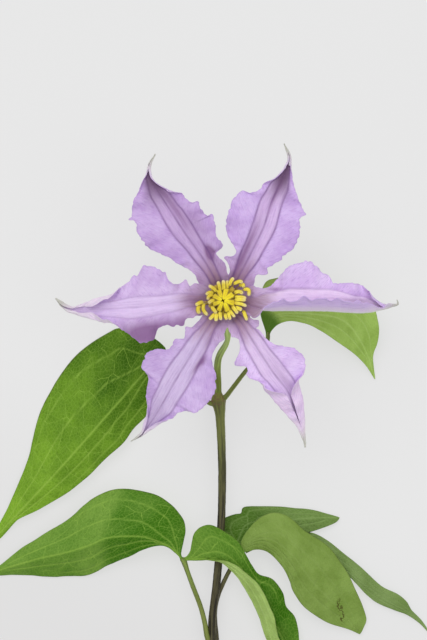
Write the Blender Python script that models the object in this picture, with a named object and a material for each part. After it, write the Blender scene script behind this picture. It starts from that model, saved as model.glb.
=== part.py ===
"""A clematis flower on its cut stem, laid down on a flat surface with the flower facing up.

Every length in the tables is in millimetres. The tables use the flower's own frame: the flower's axis
stands at x = 0, y = 0, the stem runs away towards -Y, and z is the height above the surface. At the end
one root empty scales the model to metres and moves its origin to the bottom centre of its box.
"""
import math

import bpy
from mathutils import Vector

MM = 0.001                    # one millimetre in Blender's metres
GAP = 0.3                     # clearance between pieces that touch
UP = Vector((0.0, 0.0, 1.0))

# Driving sizes
SEPAL_THICKNESS = 0.6
LEAF_THICKNESS = 0.5
STEM_RADIUS = 1.15
STALK_RADIUS = 0.95
PETIOLE_RADIUS = 0.6
FILAMENT_RADIUS = 0.22
ANTHER_RADIUS = 0.48
RECEPTACLE_BOTTOM = 24.9
SEPAL_BASE = 1.0              # half the width of a sepal where it joins the receptacle
LEAF_BASE = 0.6               # half the width of a leaf where it joins its stalk
TIP_HALF_WIDTH = 0.35
TUFT_CENTRE = (-0.3, 0.2)

# Mesh fineness
TUBE_SIDES = 8
STAMEN_SIDES = 6
SEPAL_RIBS = 20
LEAF_RIBS = 16
SEPAL_STRIPS = 4              # strips on each side of a sepal's midrib
LEAF_STRIPS = 3
FINE_STEPS = 12               # points between two knots while a curve is smoothed

# Each ring of stamens: count, radius of the bases, height of the bases, lean from upright, length
STAMEN_RINGS = (
    (14, 1.90, 27.45, 58.0, 5.6),
    (12, 1.35, 27.75, 36.0, 6.0),
    (10, 0.95, 28.00, 14.0, 6.6),
)
# Radius along a stamen, as a share of its length
STAMEN_PROFILE = (
    (0.00, FILAMENT_RADIUS),
    (0.52, FILAMENT_RADIUS),
    (0.60, 0.8 * ANTHER_RADIUS),
    (0.75, ANTHER_RADIUS),
    (0.92, ANTHER_RADIUS),
    (1.00, 0.4 * ANTHER_RADIUS),
)

# Tubes: (x, y, z, radius) along the centre line
STEM = (
    (-4.1, -116.0, 1.25, STEM_RADIUS),
    (-4.0, -108.0, 2.1, STEM_RADIUS),
    (-3.95, -102.8, 2.8, 1.25),
    (-3.9, -100.5, 3.0, 1.6),
    (-3.8, -98.6, 3.05, 1.3),
    (-3.65, -93.0, 3.1, STEM_RADIUS),
    (-2.65, -85.0, 3.3, STEM_RADIUS),
    (-1.75, -75.0, 3.6, STEM_RADIUS),
    (-1.05, -64.0, 3.9, STEM_RADIUS),
    (-0.8, -52.0, 4.3, STEM_RADIUS),
    (-1.0, -43.0, 4.6, STEM_RADIUS),
    (-1.35, -35.0, 4.9, 1.3),
    (-1.6, -31.4, 5.0, 1.8),
    (-1.8, -29.6, 5.0, 2.1),
    (-1.9, -28.4, 5.1, 1.4),
)
FLOWER_STALK = (
    (-1.95, -28.1, 5.2, 0.85),
    (-2.0, -24.0, 6.4, STALK_RADIUS),
    (-2.2, -20.0, 9.0, STALK_RADIUS),
    (-1.9, -17.2, 11.6, STALK_RADIUS),
    (-1.0, -15.0, 13.8, STALK_RADIUS),
    (0.1, -13.2, 15.6, STALK_RADIUS),
    (0.8, -11.2, 17.4, STALK_RADIUS),
    (0.9, -8.0, 19.2, STALK_RADIUS),
    (0.7, -4.4, 20.6, STALK_RADIUS),
    (0.2, -1.0, 21.4, STALK_RADIUS),
    (0.0, -0.1, 22.9, 1.0),
    (0.0, 0.0, RECEPTACLE_BOTTOM - GAP, 1.1),
)
PETIOLES = {
    "petiole_upper_left": (
        (-4.9, -30.4, 5.2, PETIOLE_RADIUS),
        (-7.5, -27.0, 5.5, PETIOLE_RADIUS),
        (-10.5, -21.0, 5.7, PETIOLE_RADIUS),
        (-13.5, -16.8, 5.6, PETIOLE_RADIUS),
        (-16.5, -15.0, 5.4, PETIOLE_RADIUS),
    ),
    "petiole_upper_right": (
        (0.85, -27.3, 5.4, PETIOLE_RADIUS),
        (4.3, -23.0, 6.3, PETIOLE_RADIUS),
        (6.4, -20.4, 7.0, PETIOLE_RADIUS),
        (9.2, -17.2, 8.0, PETIOLE_RADIUS),
        (11.5, -13.8, 9.0, PETIOLE_RADIUS),
        (12.35, -11.8, 9.6, PETIOLE_RADIUS),
    ),
    "petiole_lower_left": (
        (-5.6, -98.4, 4.3, PETIOLE_RADIUS),
        (-5.9, -95.0, 3.9, PETIOLE_RADIUS),
        (-7.2, -90.0, 3.6, PETIOLE_RADIUS),
        (-9.1, -85.0, 3.6, PETIOLE_RADIUS),
        (-10.9, -80.1, 3.9, PETIOLE_RADIUS),
        (-11.7, -77.4, 4.2, 1.2 * PETIOLE_RADIUS),
    ),
    "petiole_lower_right": (
        (-2.5, -98.4, 1.2, PETIOLE_RADIUS),
        (-2.7, -96.5, 0.9, PETIOLE_RADIUS),
        (-2.9, -94.0, 0.75, PETIOLE_RADIUS),
        (-2.8, -90.5, 0.75, PETIOLE_RADIUS),
        (-2.0, -87.0, 1.15, PETIOLE_RADIUS),
        (-0.5, -83.5, 2.2, PETIOLE_RADIUS),
        (1.6, -79.3, 3.1, PETIOLE_RADIUS),
        (3.9, -75.6, 3.7, 1.2 * PETIOLE_RADIUS),
    ),
}
RECEPTACLE = (
    (0.0, 0.0, RECEPTACLE_BOTTOM, 1.3),
    (0.0, 0.0, 25.5, 1.9),
    (0.0, 0.0, 26.6, 1.9),
    (0.0, 0.0, 27.1, 1.4),
    (0.0, 0.0, 27.4, 0.5),
)
PISTILS = (
    (-0.02, 0.0, 27.8, 0.4),
    (-0.1, 0.05, 29.0, 0.5),
    (-0.2, 0.1, 31.0, 0.75),
    (-0.3, 0.15, 33.0, 1.0),
    (-0.3, 0.2, 34.2, 0.5),
)

# Blades: sepals and leaves. "midrib" runs from the base to the tip, "left" and "right" are the two
# outlines seen from above by someone looking along the midrib, "slope" is how steeply the two halves
# rise (+) or fall (-) away from the midrib in degrees, and "curl" is how much more they turn up at the
# margin towards the tip. "fold" in place of an outline is a half that is folded up over the other one:
# its width at shares of the midrib's length.
SEPALS = {
    "sepal_upper_left": {
        "midrib": (
            (-1.15, 2.1, 26.1), (-2.2, 4.4, 27.4), (-3.6, 7.4, 28.7), (-7.0, 13.0, 30.0),
            (-12.0, 20.0, 30.8), (-16.5, 27.0, 30.6), (-20.0, 32.5, 29.8), (-22.3, 36.8, 29.0),
            (-22.0, 40.0, 29.4), (-20.3, 42.7, 30.4),
        ),
        "left": (
            (-3.6, 2.6), (-6.0, 4.3), (-8.6, 7.5), (-12.0, 10.2), (-16.0, 12.8), (-20.5, 14.7), (-24.5, 18.0),
            (-26.3, 23.0), (-27.2, 26.5), (-25.5, 31.5), (-24.5, 34.5), (-22.9, 37.5),
        ),
        "right": (
            (0.1, 4.3), (0.3, 7.0), (0.0, 10.5), (-2.4, 13.8), (-1.0, 16.8), (-2.8, 22.0), (-4.5, 25.0),
            (-8.0, 28.7), (-11.0, 29.3), (-16.5, 32.3), (-20.5, 34.6),
        ),
        "slope": (10.0, 10.0),
        "curl": 60.0,
    },
    "sepal_upper_right": {
        "midrib": (
            (1.3, 2.0, 26.1), (2.6, 4.3, 27.4), (4.3, 7.4, 28.7), (8.0, 14.5, 30.1),
            (11.3, 21.5, 30.8), (13.3, 28.0, 30.5), (16.0, 34.0, 29.6), (18.3, 39.0, 28.9),
            (18.9, 42.0, 29.2), (17.2, 45.7, 30.6),
        ),
        "left": (
            (0.8, 4.3), (1.1, 7.0), (0.9, 11.5), (3.0, 14.0), (0.8, 19.0), (0.6, 25.0), (2.5, 30.0),
            (6.0, 31.8), (10.3, 32.5), (14.5, 35.5), (17.8, 39.5),
        ),
        "right": (
            (4.3, 2.2), (6.9, 3.9), (9.3, 7.3), (12.4, 8.6), (16.0, 11.5), (20.0, 15.5), (21.8, 20.0),
            (22.9, 25.0), (21.3, 30.0), (19.8, 34.5), (19.2, 38.5),
        ),
        "slope": (10.0, 10.0),
        "curl": 60.0,
    },
    "sepal_right": {
        "midrib": (
            (2.4, 0.1, 26.1), (5.0, -0.4, 27.5), (8.0, -1.8, 28.8), (12.0, -2.8, 29.6),
            (20.0, -3.0, 30.2), (30.0, -3.1, 29.8), (40.0, -3.6, 28.6), (45.0, -2.8, 28.2),
            (48.5, -1.9, 28.6), (50.6, -1.2, 29.4),
        ),
        "left": (
            (4.7, 2.0), (7.7, 3.8), (11.0, 3.5), (15.5, 6.3), (20.0, 10.4), (24.5, 11.4), (28.0, 8.3),
            (32.0, 4.9), (38.0, 5.0), (43.0, 1.3), (46.5, -1.4),
        ),
        "fold": (
            (0.0, 1.0), (0.12, 1.2), (0.18, 2.0), (0.3, 5.0), (0.5, 6.5), (0.75, 5.0), (0.9, 1.5), (1.0, 0.4),
        ),
        "slope": (8.0, 104.0),
        "curl": 20.0,
    },
    "sepal_lower_right": {
        "midrib": (
            (1.4, -2.0, 26.1), (3.0, -4.6, 27.4), (5.2, -7.2, 28.6), (10.0, -15.0, 29.8),
            (14.0, -21.0, 29.8), (18.5, -27.0, 28.8), (20.8, -33.0, 27.4), (22.6, -38.5, 26.6),
            (23.4, -43.0, 26.6),
        ),
        "left": (
            (4.2, -2.6), (7.0, -4.8), (9.7, -7.5), (11.8, -11.0), (17.5, -13.5), (22.0, -15.3), (23.3, -19.5),
            (21.5, -24.0), (22.7, -30.0), (23.1, -36.0), (23.6, -41.0),
        ),
        "right": (
            (0.4, -4.3), (0.9, -7.0), (2.3, -10.6), (4.3, -14.0), (2.9, -18.4), (6.5, -20.6),
            (9.5, -23.7), (12.5, -27.0),
            (18.0, -33.3), (22.2, -39.0),
        ),
        "slope": (8.0, 8.0),
        "curl": 75.0,
    },
    "sepal_lower_left": {
        "midrib": (
            (-1.15, -2.1, 26.1), (-2.6, -4.8, 27.4), (-5.0, -8.0, 28.6), (-9.4, -15.2, 29.8),
            (-12.9, -20.9, 30.0), (-16.8, -27.6, 29.4), (-20.0, -33.2, 28.2), (-22.7, -37.0, 27.2),
            (-24.6, -39.6, 27.0), (-27.5, -41.2, 27.6),
        ),
        "left": (
            (-0.4, -4.3), (-0.1, -7.2), (-0.4, -11.2), (-3.0, -14.2), (-3.6, -18.0), (-2.8, -23.5),
            (-4.0, -28.7),
            (-8.5, -32.8), (-12.5, -32.6), (-16.3, -34.3), (-20.0, -36.5), (-23.9, -39.2),
        ),
        "right": (
            (-3.6, -2.7), (-6.0, -4.6), (-9.5, -7.6), (-12.0, -11.3), (-16.5, -13.8), (-21.0, -14.3),
            (-24.3, -19.0),
            (-22.5, -24.0), (-22.7, -30.0), (-23.2, -35.0), (-24.6, -38.6),
        ),
        "slope": (8.0, 8.0),
        "curl": 60.0,
    },
    "sepal_left": {
        "midrib": (
            (-2.4, 0.0, 26.1), (-5.0, -0.1, 27.5), (-8.0, -0.2, 28.8), (-12.0, -0.3, 29.6),
            (-20.0, -1.5, 30.4), (-28.0, -2.3, 30.4), (-36.0, -2.6, 29.4), (-43.0, -2.8, 28.6),
            (-47.5, -1.8, 28.8), (-49.5, 0.6, 29.8),
        ),
        "left": (
            (-4.3, -2.2), (-7.2, -4.2), (-12.5, -7.3), (-18.0, -7.6), (-21.0, -11.5), (-25.0, -12.3),
            (-28.0, -10.0),
            (-32.0, -7.2), (-38.0, -5.7), (-44.0, -3.7), (-46.5, -2.8),
        ),
        "right": (
            (-4.3, 2.1), (-7.2, 4.2), (-11.5, 5.2), (-16.0, 5.6), (-19.5, 9.2), (-24.0, 9.8), (-28.0, 5.5),
            (-33.0, 2.0), (-39.0, 0.0), (-44.5, -2.0),
        ),
        "slope": (8.0, 8.0),
        "curl": 60.0,
    },
}
LEAVES = {
    "leaf_upper_left": {
        "midrib": (
            (-17.6, -15.9, 5.4), (-20.0, -17.5, 5.8), (-24.0, -21.5, 6.0), (-30.0, -28.5, 5.8),
            (-36.0, -35.3, 5.4), (-43.5, -43.8, 4.8), (-50.0, -51.0, 4.0), (-57.0, -58.5, 3.0),
            (-65.0, -67.0, 1.4), (-71.0, -74.0, 0.6),
        ),
        "left": (
            (-15.0, -18.0), (-16.0, -22.0), (-19.0, -28.0), (-22.9, -33.7), (-29.8, -41.8),
            (-39.8, -51.3), (-49.9, -58.8), (-60.0, -64.2), (-65.5, -69.5),
        ),
        "right": (
            (-17.8, -13.8), (-20.5, -11.2), (-25.0, -8.8), (-31.0, -8.2), (-40.2, -13.1), (-48.3, -21.7),
            (-54.4, -32.8), (-57.8, -46.0), (-60.2, -52.0), (-65.5, -64.0),
        ),
        "slope": (-12.0, -14.0),
        "curl": 0.0,
    },
    "leaf_upper_right": {
        "midrib": (
            (12.6, -11.0, 10.0), (13.3, -6.6, 12.0), (15.4, -4.3, 13.2), (20.0, -3.7, 14.2),
            (28.0, -4.2, 14.0), (33.5, -5.3, 12.4), (37.0, -7.8, 10.0), (39.8, -11.8, 7.0),
            (42.2, -16.8, 3.6), (44.2, -23.2, 0.8),
        ),
        "left": (
            (11.9, -9.0), (10.8, -5.5), (10.4, -3.5), (10.3, 1.0), (11.3, 4.3), (14.5, 6.4), (20.0, 7.2),
            (28.0, 5.8), (35.0, 3.4), (40.0, 1.0), (43.6, -1.8), (44.9, -5.5), (45.3, -9.0), (44.9, -12.5),
            (43.7, -16.0), (43.8, -19.5),
        ),
        "right": (
            (13.4, -9.4), (15.0, -7.5), (17.0, -6.5), (20.0, -6.1), (24.0, -6.9), (28.0, -8.9),
            (32.0, -11.5), (36.0, -14.2), (39.0, -16.6), (41.8, -19.6),
        ),
        "slope": (-6.0, -12.0),
        "curl": 0.0,
    },
    "leaflet_left_outer": {
        "midrib": (
            (-13.2, -75.6, 4.8), (-15.5, -73.0, 5.6), (-18.5, -71.3, 6.5), (-25.0, -69.4, 7.8),
            (-34.0, -69.7, 8.0), (-40.0, -72.0, 7.4), (-47.0, -74.2, 6.0), (-55.0, -76.0, 4.2),
            (-66.0, -79.3, 1.8), (-72.0, -82.0, 0.6),
        ),
        "left": (
            (-13.9, -75.3), (-17.0, -72.8), (-22.0, -72.6), (-28.0, -75.4), (-35.0, -78.1),
            (-41.0, -81.0), (-50.0, -81.3), (-58.0, -81.1), (-66.0, -81.0),
        ),
        "right": (
            (-12.8, -73.0), (-11.6, -68.0), (-13.6, -62.5), (-20.0, -57.3), (-30.0, -55.4),
            (-38.2, -57.9), (-44.3, -62.9), (-52.0, -68.0), (-60.0, -73.0), (-66.0, -77.8),
        ),
        "slope": (-36.0, -12.0),
        "curl": 0.0,
    },
    "leaflet_left_inner": {
        "midrib": (
            (-10.2, -75.8, 5.0), (-7.0, -75.8, 6.4), (-3.0, -76.2, 7.8), (0.0, -77.5, 8.4),
            (4.0, -81.5, 8.0), (8.0, -88.0, 6.4), (10.5, -94.0, 4.6), (13.0, -101.0, 2.6),
            (17.5, -106.0, 1.4), (24.0, -110.0, 0.7),
        ),
        "left": (
            (-9.9, -72.5), (-9.0, -68.0), (-4.0, -66.0), (0.0, -68.0), (4.0, -71.0), (8.0, -78.0),
            (10.0, -80.5), (14.0, -82.0), (18.0, -89.0), (21.0, -94.0), (22.0, -100.0), (23.5, -106.0),
        ),
        "fold": ((0.0, 0.6), (0.1, 1.0), (0.3, 4.5), (0.5, 7.0), (0.75, 5.5), (0.92, 1.6), (1.0, 0.5)),
        "slope": (6.0, 118.0),
        "curl": 0.0,
    },
    "leaflet_right_back": {
        "midrib": (
            (3.4, -73.6, 3.2), (5.0, -70.5, 3.6), (10.0, -67.0, 4.4), (18.0, -64.7, 4.2),
            (26.0, -63.9, 2.6), (33.8, -63.9, 0.8),
        ),
        "left": (
            (2.0, -72.0), (-0.2, -69.0), (-0.9, -66.5), (1.0, -63.5), (5.0, -62.2), (7.0, -60.7),
            (15.0, -60.6), (25.0, -61.5), (31.0, -63.0),
        ),
        "right": (
            (5.5, -72.6), (10.0, -70.8), (18.0, -69.4), (25.0, -68.3), (32.0, -65.6),
        ),
        "slope": (-20.0, -10.0),
        "curl": 0.0,
    },
    "leaflet_right_broad": {
        "midrib": (
            (5.0, -73.2, 5.0), (9.0, -70.4, 6.6), (14.0, -70.4, 8.0), (20.0, -75.0, 8.4),
            (26.0, -83.0, 7.0), (33.0, -90.0, 4.2), (39.8, -98.3, 0.8),
        ),
        "left": (
            (5.0, -71.0), (6.0, -68.5), (9.0, -65.0), (15.0, -62.4), (20.5, -65.0), (30.0, -72.0),
            (36.2, -80.4), (40.5, -89.8), (41.5, -95.0),
        ),
        "right": (
            (6.8, -73.8), (11.5, -73.6), (14.0, -75.0), (17.0, -78.5), (20.0, -85.5), (23.0, -89.8),
            (31.0, -95.2), (37.0, -97.2),
        ),
        "slope": (-8.0, -12.0),
        "curl": 0.0,
    },
    "leaflet_right_narrow": {
        "midrib": (
            (6.4, -73.9, 2.4), (13.0, -72.3, 2.0), (21.0, -72.2, 1.8), (28.0, -74.5, 2.0),
            (35.0, -79.0, 2.2), (42.0, -84.3, 2.2), (48.0, -88.4, 1.8), (55.0, -92.4, 1.2),
            (58.0, -95.0, 0.9), (61.0, -99.0, 0.6),
        ),
        "left": (
            (12.0, -70.5), (20.0, -69.0), (25.0, -68.8), (30.0, -70.5), (35.0, -74.5), (40.0, -78.5),
            (46.0, -84.0), (51.0, -86.6), (55.0, -91.3),
        ),
        "right": (
            (13.5, -73.6), (17.0, -75.6), (22.0, -76.6), (30.0, -78.8), (36.2, -81.2), (42.0, -86.9),
            (46.0, -89.6), (50.0, -91.2), (54.0, -93.2),
        ),
        "slope": (-6.0, -6.0),
        "curl": 0.0,
    },
}

# Colours (sRGB) and roughness of each material
MATERIALS = {
    "sepal_lilac": ((0.78, 0.68, 0.88), 0.75),
    "leaf_green": ((0.38, 0.53, 0.16), 0.55),
    "stem_brown": ((0.33, 0.30, 0.20), 0.65),
    "stalk_green": ((0.52, 0.60, 0.30), 0.6),
    "anther_yellow": ((0.90, 0.82, 0.25), 0.8),
}


def clear_scene():
    for item in list(bpy.data.objects):
        bpy.data.objects.remove(item, do_unlink=True)


def linear(channel):
    """One sRGB channel as the linear value that a shader takes."""
    if channel <= 0.04045:
        return channel / 12.92
    return ((channel + 0.055) / 1.055) ** 2.4


def make_material(name):
    colour, roughness = MATERIALS[name]
    material = bpy.data.materials.new(name)
    material.use_nodes = True
    shader = material.node_tree.nodes["Principled BSDF"]
    shader.inputs["Base Color"].default_value = (*[linear(channel) for channel in colour], 1.0)
    shader.inputs["Roughness"].default_value = roughness
    shader.inputs["Metallic"].default_value = 0.0
    return material


def resample(points, count):
    """The same line as evenly spaced points."""
    reach = [0.0]
    for before, after in zip(points, points[1:]):
        reach.append(reach[-1] + (after - before).length)
    result = []
    index = 0
    for step in range(count):
        wanted = reach[-1] * step / (count - 1)
        while index < len(points) - 2 and reach[index + 1] < wanted:
            index += 1
        span = reach[index + 1] - reach[index]
        share = (wanted - reach[index]) / span if span > 0 else 0.0
        result.append(points[index].lerp(points[index + 1], min(share, 1.0)))
    return result


def smooth_line(knots, count):
    """A smooth curve through the knots (Catmull-Rom), as evenly spaced points."""
    knots = [Vector(knot) for knot in knots]
    last = len(knots) - 1
    fine = []
    for k in range(last):
        a = knots[max(k - 1, 0)]
        b = knots[k]
        c = knots[k + 1]
        d = knots[min(k + 2, last)]
        for step in range(FINE_STEPS):
            t = step / FINE_STEPS
            bend = (2 * a - 5 * b + 4 * c - d) * t * t
            twist = (3 * b - a - 3 * c + d) * t ** 3
            fine.append(0.5 * (2 * b + (c - a) * t + bend + twist))
    fine.append(knots[-1])
    return resample(fine, count)


def directions(points):
    """The unit direction of the line at each of its points."""
    result = []
    for k in range(len(points)):
        ahead = points[min(k + 1, len(points) - 1)]
        behind = points[max(k - 1, 0)]
        result.append((ahead - behind).normalized())
    return result


def interpolate(pairs, at):
    """The value at a place, from sorted (place, value) pairs."""
    if at <= pairs[0][0]:
        return pairs[0][1]
    for (start, low), (end, high) in zip(pairs, pairs[1:]):
        if at <= end:
            return low + (high - low) * (at - start) / max(end - start, 1e-9)
    return pairs[-1][1]


def make_object(name, verts, faces, material, smooth):
    mesh = bpy.data.meshes.new(name)
    mesh.from_pydata([vert * MM for vert in verts], [], faces)
    mesh.update()
    mesh.materials.append(material)
    if smooth:
        mesh.shade_smooth()
        mesh.set_sharp_from_angle(angle=math.radians(50))
    item = bpy.data.objects.new(name, mesh)
    bpy.context.scene.collection.objects.link(item)
    return item


def tube(name, knots, count, sides, material):
    """A closed round tube along knots of (x, y, z, radius)."""
    line = smooth_line(knots, count)
    centres = [Vector(point[:3]) for point in line]
    along = directions(centres)
    across = along[0].orthogonal().normalized()
    verts = []
    for point, centre, direction in zip(line, centres, along):
        across = (across - direction * across.dot(direction)).normalized()
        beside = direction.cross(across)
        for side in range(sides):
            angle = 2 * math.pi * side / sides
            verts.append(centre + (across * math.cos(angle) + beside * math.sin(angle)) * point[3])
    faces = [list(range(sides))[::-1]]
    for ring in range(count - 1):
        for side in range(sides):
            here = ring * sides + side
            beyond = ring * sides + (side + 1) % sides
            faces.append((here, beyond, beyond + sides, here + sides))
    faces.append([(count - 1) * sides + side for side in range(sides)])
    return make_object(name, verts, faces, material, True)


def margin_line(spine, outline, side, count, base_width):
    """One margin in plan, from beside the midrib's base to beside its tip."""
    along = directions(spine)
    base = spine[0] + UP.cross(along[0]).normalized() * side * base_width
    tip = spine[-1] + UP.cross(along[-1]).normalized() * side * TIP_HALF_WIDTH
    knots = [(base.x, base.y, 0.0), *((x, y, 0.0) for x, y in outline), (tip.x, tip.y, 0.0)]
    return smooth_line(knots, count)


def half_section(width, slope, curl, strips, folded):
    """(sideways, upward) offsets from the midrib to the margin of one half of a blade.

    An open half is stretched until its shadow is as wide as asked; a folded half keeps its own width.
    """
    offsets = []
    sideways = 0.0
    upward = 0.0
    for strip in range(strips):
        middle = (strip + 0.5) / strips
        angle = math.radians(slope + curl * middle ** 3)
        sideways += math.cos(angle) / strips
        upward += math.sin(angle) / strips
        offsets.append((sideways, upward))
    reach = 1.0 if folded else max(offset[0] for offset in offsets)
    return [(offset[0] * width / reach, offset[1] * width / reach) for offset in offsets]


def blade(name, shape, ribs, strips, thickness, base_width, material):
    """A thin closed sheet: ribs across a curved midrib, each with a left and a right half."""
    line = smooth_line(shape["midrib"], ribs)
    along = directions(line)
    margins = {1: margin_line(line, shape["left"], 1, ribs, base_width)}
    if "right" in shape:
        margins[-1] = margin_line(line, shape["right"], -1, ribs, base_width)
    rows = []
    for k in range(ribs):
        share = k / (ribs - 1)
        row = [line[k]]
        for side, slope in zip((1, -1), shape["slope"]):
            if side in margins:
                outward = margins[side][k] - line[k]
                outward.z = 0.0
                half = half_section(outward.length, slope, shape["curl"] * share ** 2, strips, False)
            else:
                outward = UP.cross(along[k]) * side
                half = half_section(interpolate(shape["fold"], share), slope, 0.0, strips, True)
            outward.normalize()
            spots = [line[k] + outward * aside + UP * rise for aside, rise in half]
            row = spots[::-1] + row if side == 1 else row + spots
        rows.append(row)
    return thin_solid(name, rows, thickness, material)


def thin_solid(name, rows, thickness, material):
    """Two parallel skins half a thickness above and below the rows of points, closed by a rim."""
    count = len(rows)
    width = len(rows[0])
    upper = []
    lower = []
    for i in range(count):
        for j in range(width):
            ahead = rows[min(i + 1, count - 1)][j] - rows[max(i - 1, 0)][j]
            aside = rows[i][min(j + 1, width - 1)] - rows[i][max(j - 1, 0)]
            normal = aside.cross(ahead).normalized()
            upper.append(rows[i][j] + normal * thickness / 2)
            lower.append(rows[i][j] - normal * thickness / 2)
    verts = upper + lower
    under = count * width
    faces = []
    for i in range(count - 1):
        for j in range(width - 1):
            here = i * width + j
            faces.append((here, here + 1, here + width + 1, here + width))
            faces.append((under + here, under + here + width, under + here + width + 1, under + here + 1))
    border = list(range(width))
    border += [i * width + width - 1 for i in range(1, count)]
    border += [(count - 1) * width + j for j in range(width - 2, -1, -1)]
    border += [i * width for i in range(count - 2, 0, -1)]
    for here, beyond in zip(border, border[1:] + border[:1]):
        faces.append((here, under + here, under + beyond, beyond))
    return make_object(name, verts, faces, material, True)


def stamens(material):
    """The stamens, one object each, in rings that lean further outward the lower they stand."""
    made = []
    number = 0
    for count, radius, height, lean, length in STAMEN_RINGS:
        for k in range(count):
            number += 1
            turn = 2 * math.pi * (k + 0.5 * (number % 2) * 0.2) / count
            stretch = 1.0 + 0.07 * math.sin(5.0 * number)
            tilt = math.radians(lean + 5.0 * math.sin(3.0 * number))
            outward = Vector((math.cos(turn), math.sin(turn), 0.0))
            foot = outward * radius + UP * height
            heading = outward * math.sin(tilt) + UP * math.cos(tilt)
            reach = Vector((*TUFT_CENTRE, 0.0)) + heading * length * stretch
            knots = [(*(foot + reach * share), size) for share, size in STAMEN_PROFILE]
            made.append(tube(f"stamen_{number:02d}", knots, 6, STAMEN_SIDES, material))
    return made


def place_on_surface(items):
    """Parent everything to one empty that puts the box's bottom centre at the world's origin."""
    low = [min(vert.co[axis] for item in items for vert in item.data.vertices) for axis in range(3)]
    high = [max(vert.co[axis] for item in items for vert in item.data.vertices) for axis in range(3)]
    root = bpy.data.objects.new("clematis", None)
    bpy.context.scene.collection.objects.link(root)
    root.location = (-(low[0] + high[0]) / 2, -(low[1] + high[1]) / 2, -low[2])
    for item in items:
        item.parent = root


def main():
    clear_scene()
    materials = {name: make_material(name) for name in MATERIALS}
    items = [
        tube("stem", STEM, 22, TUBE_SIDES, materials["stem_brown"]),
        tube("flower_stalk", FLOWER_STALK, 18, TUBE_SIDES, materials["stalk_green"]),
        tube("receptacle", RECEPTACLE, 6, 12, materials["stalk_green"]),
        tube("pistil_cluster", PISTILS, 6, TUBE_SIDES, materials["anther_yellow"]),
    ]
    for name, knots in PETIOLES.items():
        items.append(tube(name, knots, 9, TUBE_SIDES, materials["stalk_green"]))
    lilac = materials["sepal_lilac"]
    for name, shape in SEPALS.items():
        items.append(blade(name, shape, SEPAL_RIBS, SEPAL_STRIPS, SEPAL_THICKNESS, SEPAL_BASE, lilac))
    green = materials["leaf_green"]
    for name, shape in LEAVES.items():
        items.append(blade(name, shape, LEAF_RIBS, LEAF_STRIPS, LEAF_THICKNESS, LEAF_BASE, green))
    items.extend(stamens(materials["anther_yellow"]))
    place_on_surface(items)


main()
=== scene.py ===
"""The looks of a cut clematis flower that lies on a surface, seen from above.

The shapes are drawn in millimetres in the flower's own frame: the flower's axis stands at x = 0, y = 0,
the stem runs away towards -Y, and z is the height above the surface. FLOWER_FOOT moves them to the
frame's metres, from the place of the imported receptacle.
"""
import math
import random

import bpy
import numpy as np
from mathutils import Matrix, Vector, noise


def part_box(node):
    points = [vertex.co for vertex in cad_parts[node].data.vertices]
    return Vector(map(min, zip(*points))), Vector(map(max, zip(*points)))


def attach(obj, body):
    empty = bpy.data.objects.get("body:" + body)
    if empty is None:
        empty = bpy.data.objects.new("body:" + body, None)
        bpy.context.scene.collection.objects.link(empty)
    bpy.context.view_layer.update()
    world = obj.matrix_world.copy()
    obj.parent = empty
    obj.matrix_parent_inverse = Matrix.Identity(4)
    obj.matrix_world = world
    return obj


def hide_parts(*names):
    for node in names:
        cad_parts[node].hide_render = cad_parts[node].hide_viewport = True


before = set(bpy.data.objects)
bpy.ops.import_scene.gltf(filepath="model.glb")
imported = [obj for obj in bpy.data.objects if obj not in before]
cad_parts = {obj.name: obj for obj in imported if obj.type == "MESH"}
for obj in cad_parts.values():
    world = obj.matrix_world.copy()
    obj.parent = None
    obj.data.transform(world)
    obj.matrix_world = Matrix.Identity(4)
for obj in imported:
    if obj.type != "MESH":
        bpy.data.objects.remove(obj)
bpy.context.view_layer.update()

MM = 0.001
RECEPTACLE_LOW, RECEPTACLE_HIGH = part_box("receptacle")
RECEPTACLE_BOTTOM = 24.9      # height of the receptacle's lowest point in the flower's frame
FLOWER_FOOT = Vector((
    (RECEPTACLE_LOW.x + RECEPTACLE_HIGH.x) / 2,
    (RECEPTACLE_LOW.y + RECEPTACLE_HIGH.y) / 2,
    RECEPTACLE_LOW.z - RECEPTACLE_BOTTOM * MM,
))

# Mesh fineness
SEPAL_RIBS = 170
SEPAL_STRIPS = 40             # on each side of the midrib
LEAF_RIBS = 150
LEAF_STRIPS = 34
STAMEN_RIBS = 44
STAMEN_SIDES = 16
FINE_STEPS = 16               # steps between two knots of a smooth line

# Sizes that all blades share, in mm
SEPAL_BASE = 1.45             # half the width at a sepal's foot
LEAF_BASE = 0.6
TIP_WIDTH = 0.12              # half the width at any tip
SEPAL_TEETH = 0.03            # how much of the width the small teeth take
BLADE_THICKNESS = 0.34
LOWEST = 0.12                 # the least height of any skin above the surface

# Camera and light
PICTURE_HEIGHT = 187.5        # what the picture takes in from top to bottom, in mm
AIM = (-3.37, -5.76)          # the middle of the picture in the flower's frame, in mm
CAMERA_AWAY = 3.0             # metres above the sprig's middle height
MIDDLE_HEIGHT = 0.018         # metres
SENSOR = 36.0
WORLD_STRENGTH = 0.6
LAMP_SIZE = 1.4               # metres across
KEY_POWER = 12.0              # watts
FILL_POWER = 5.0

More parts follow.
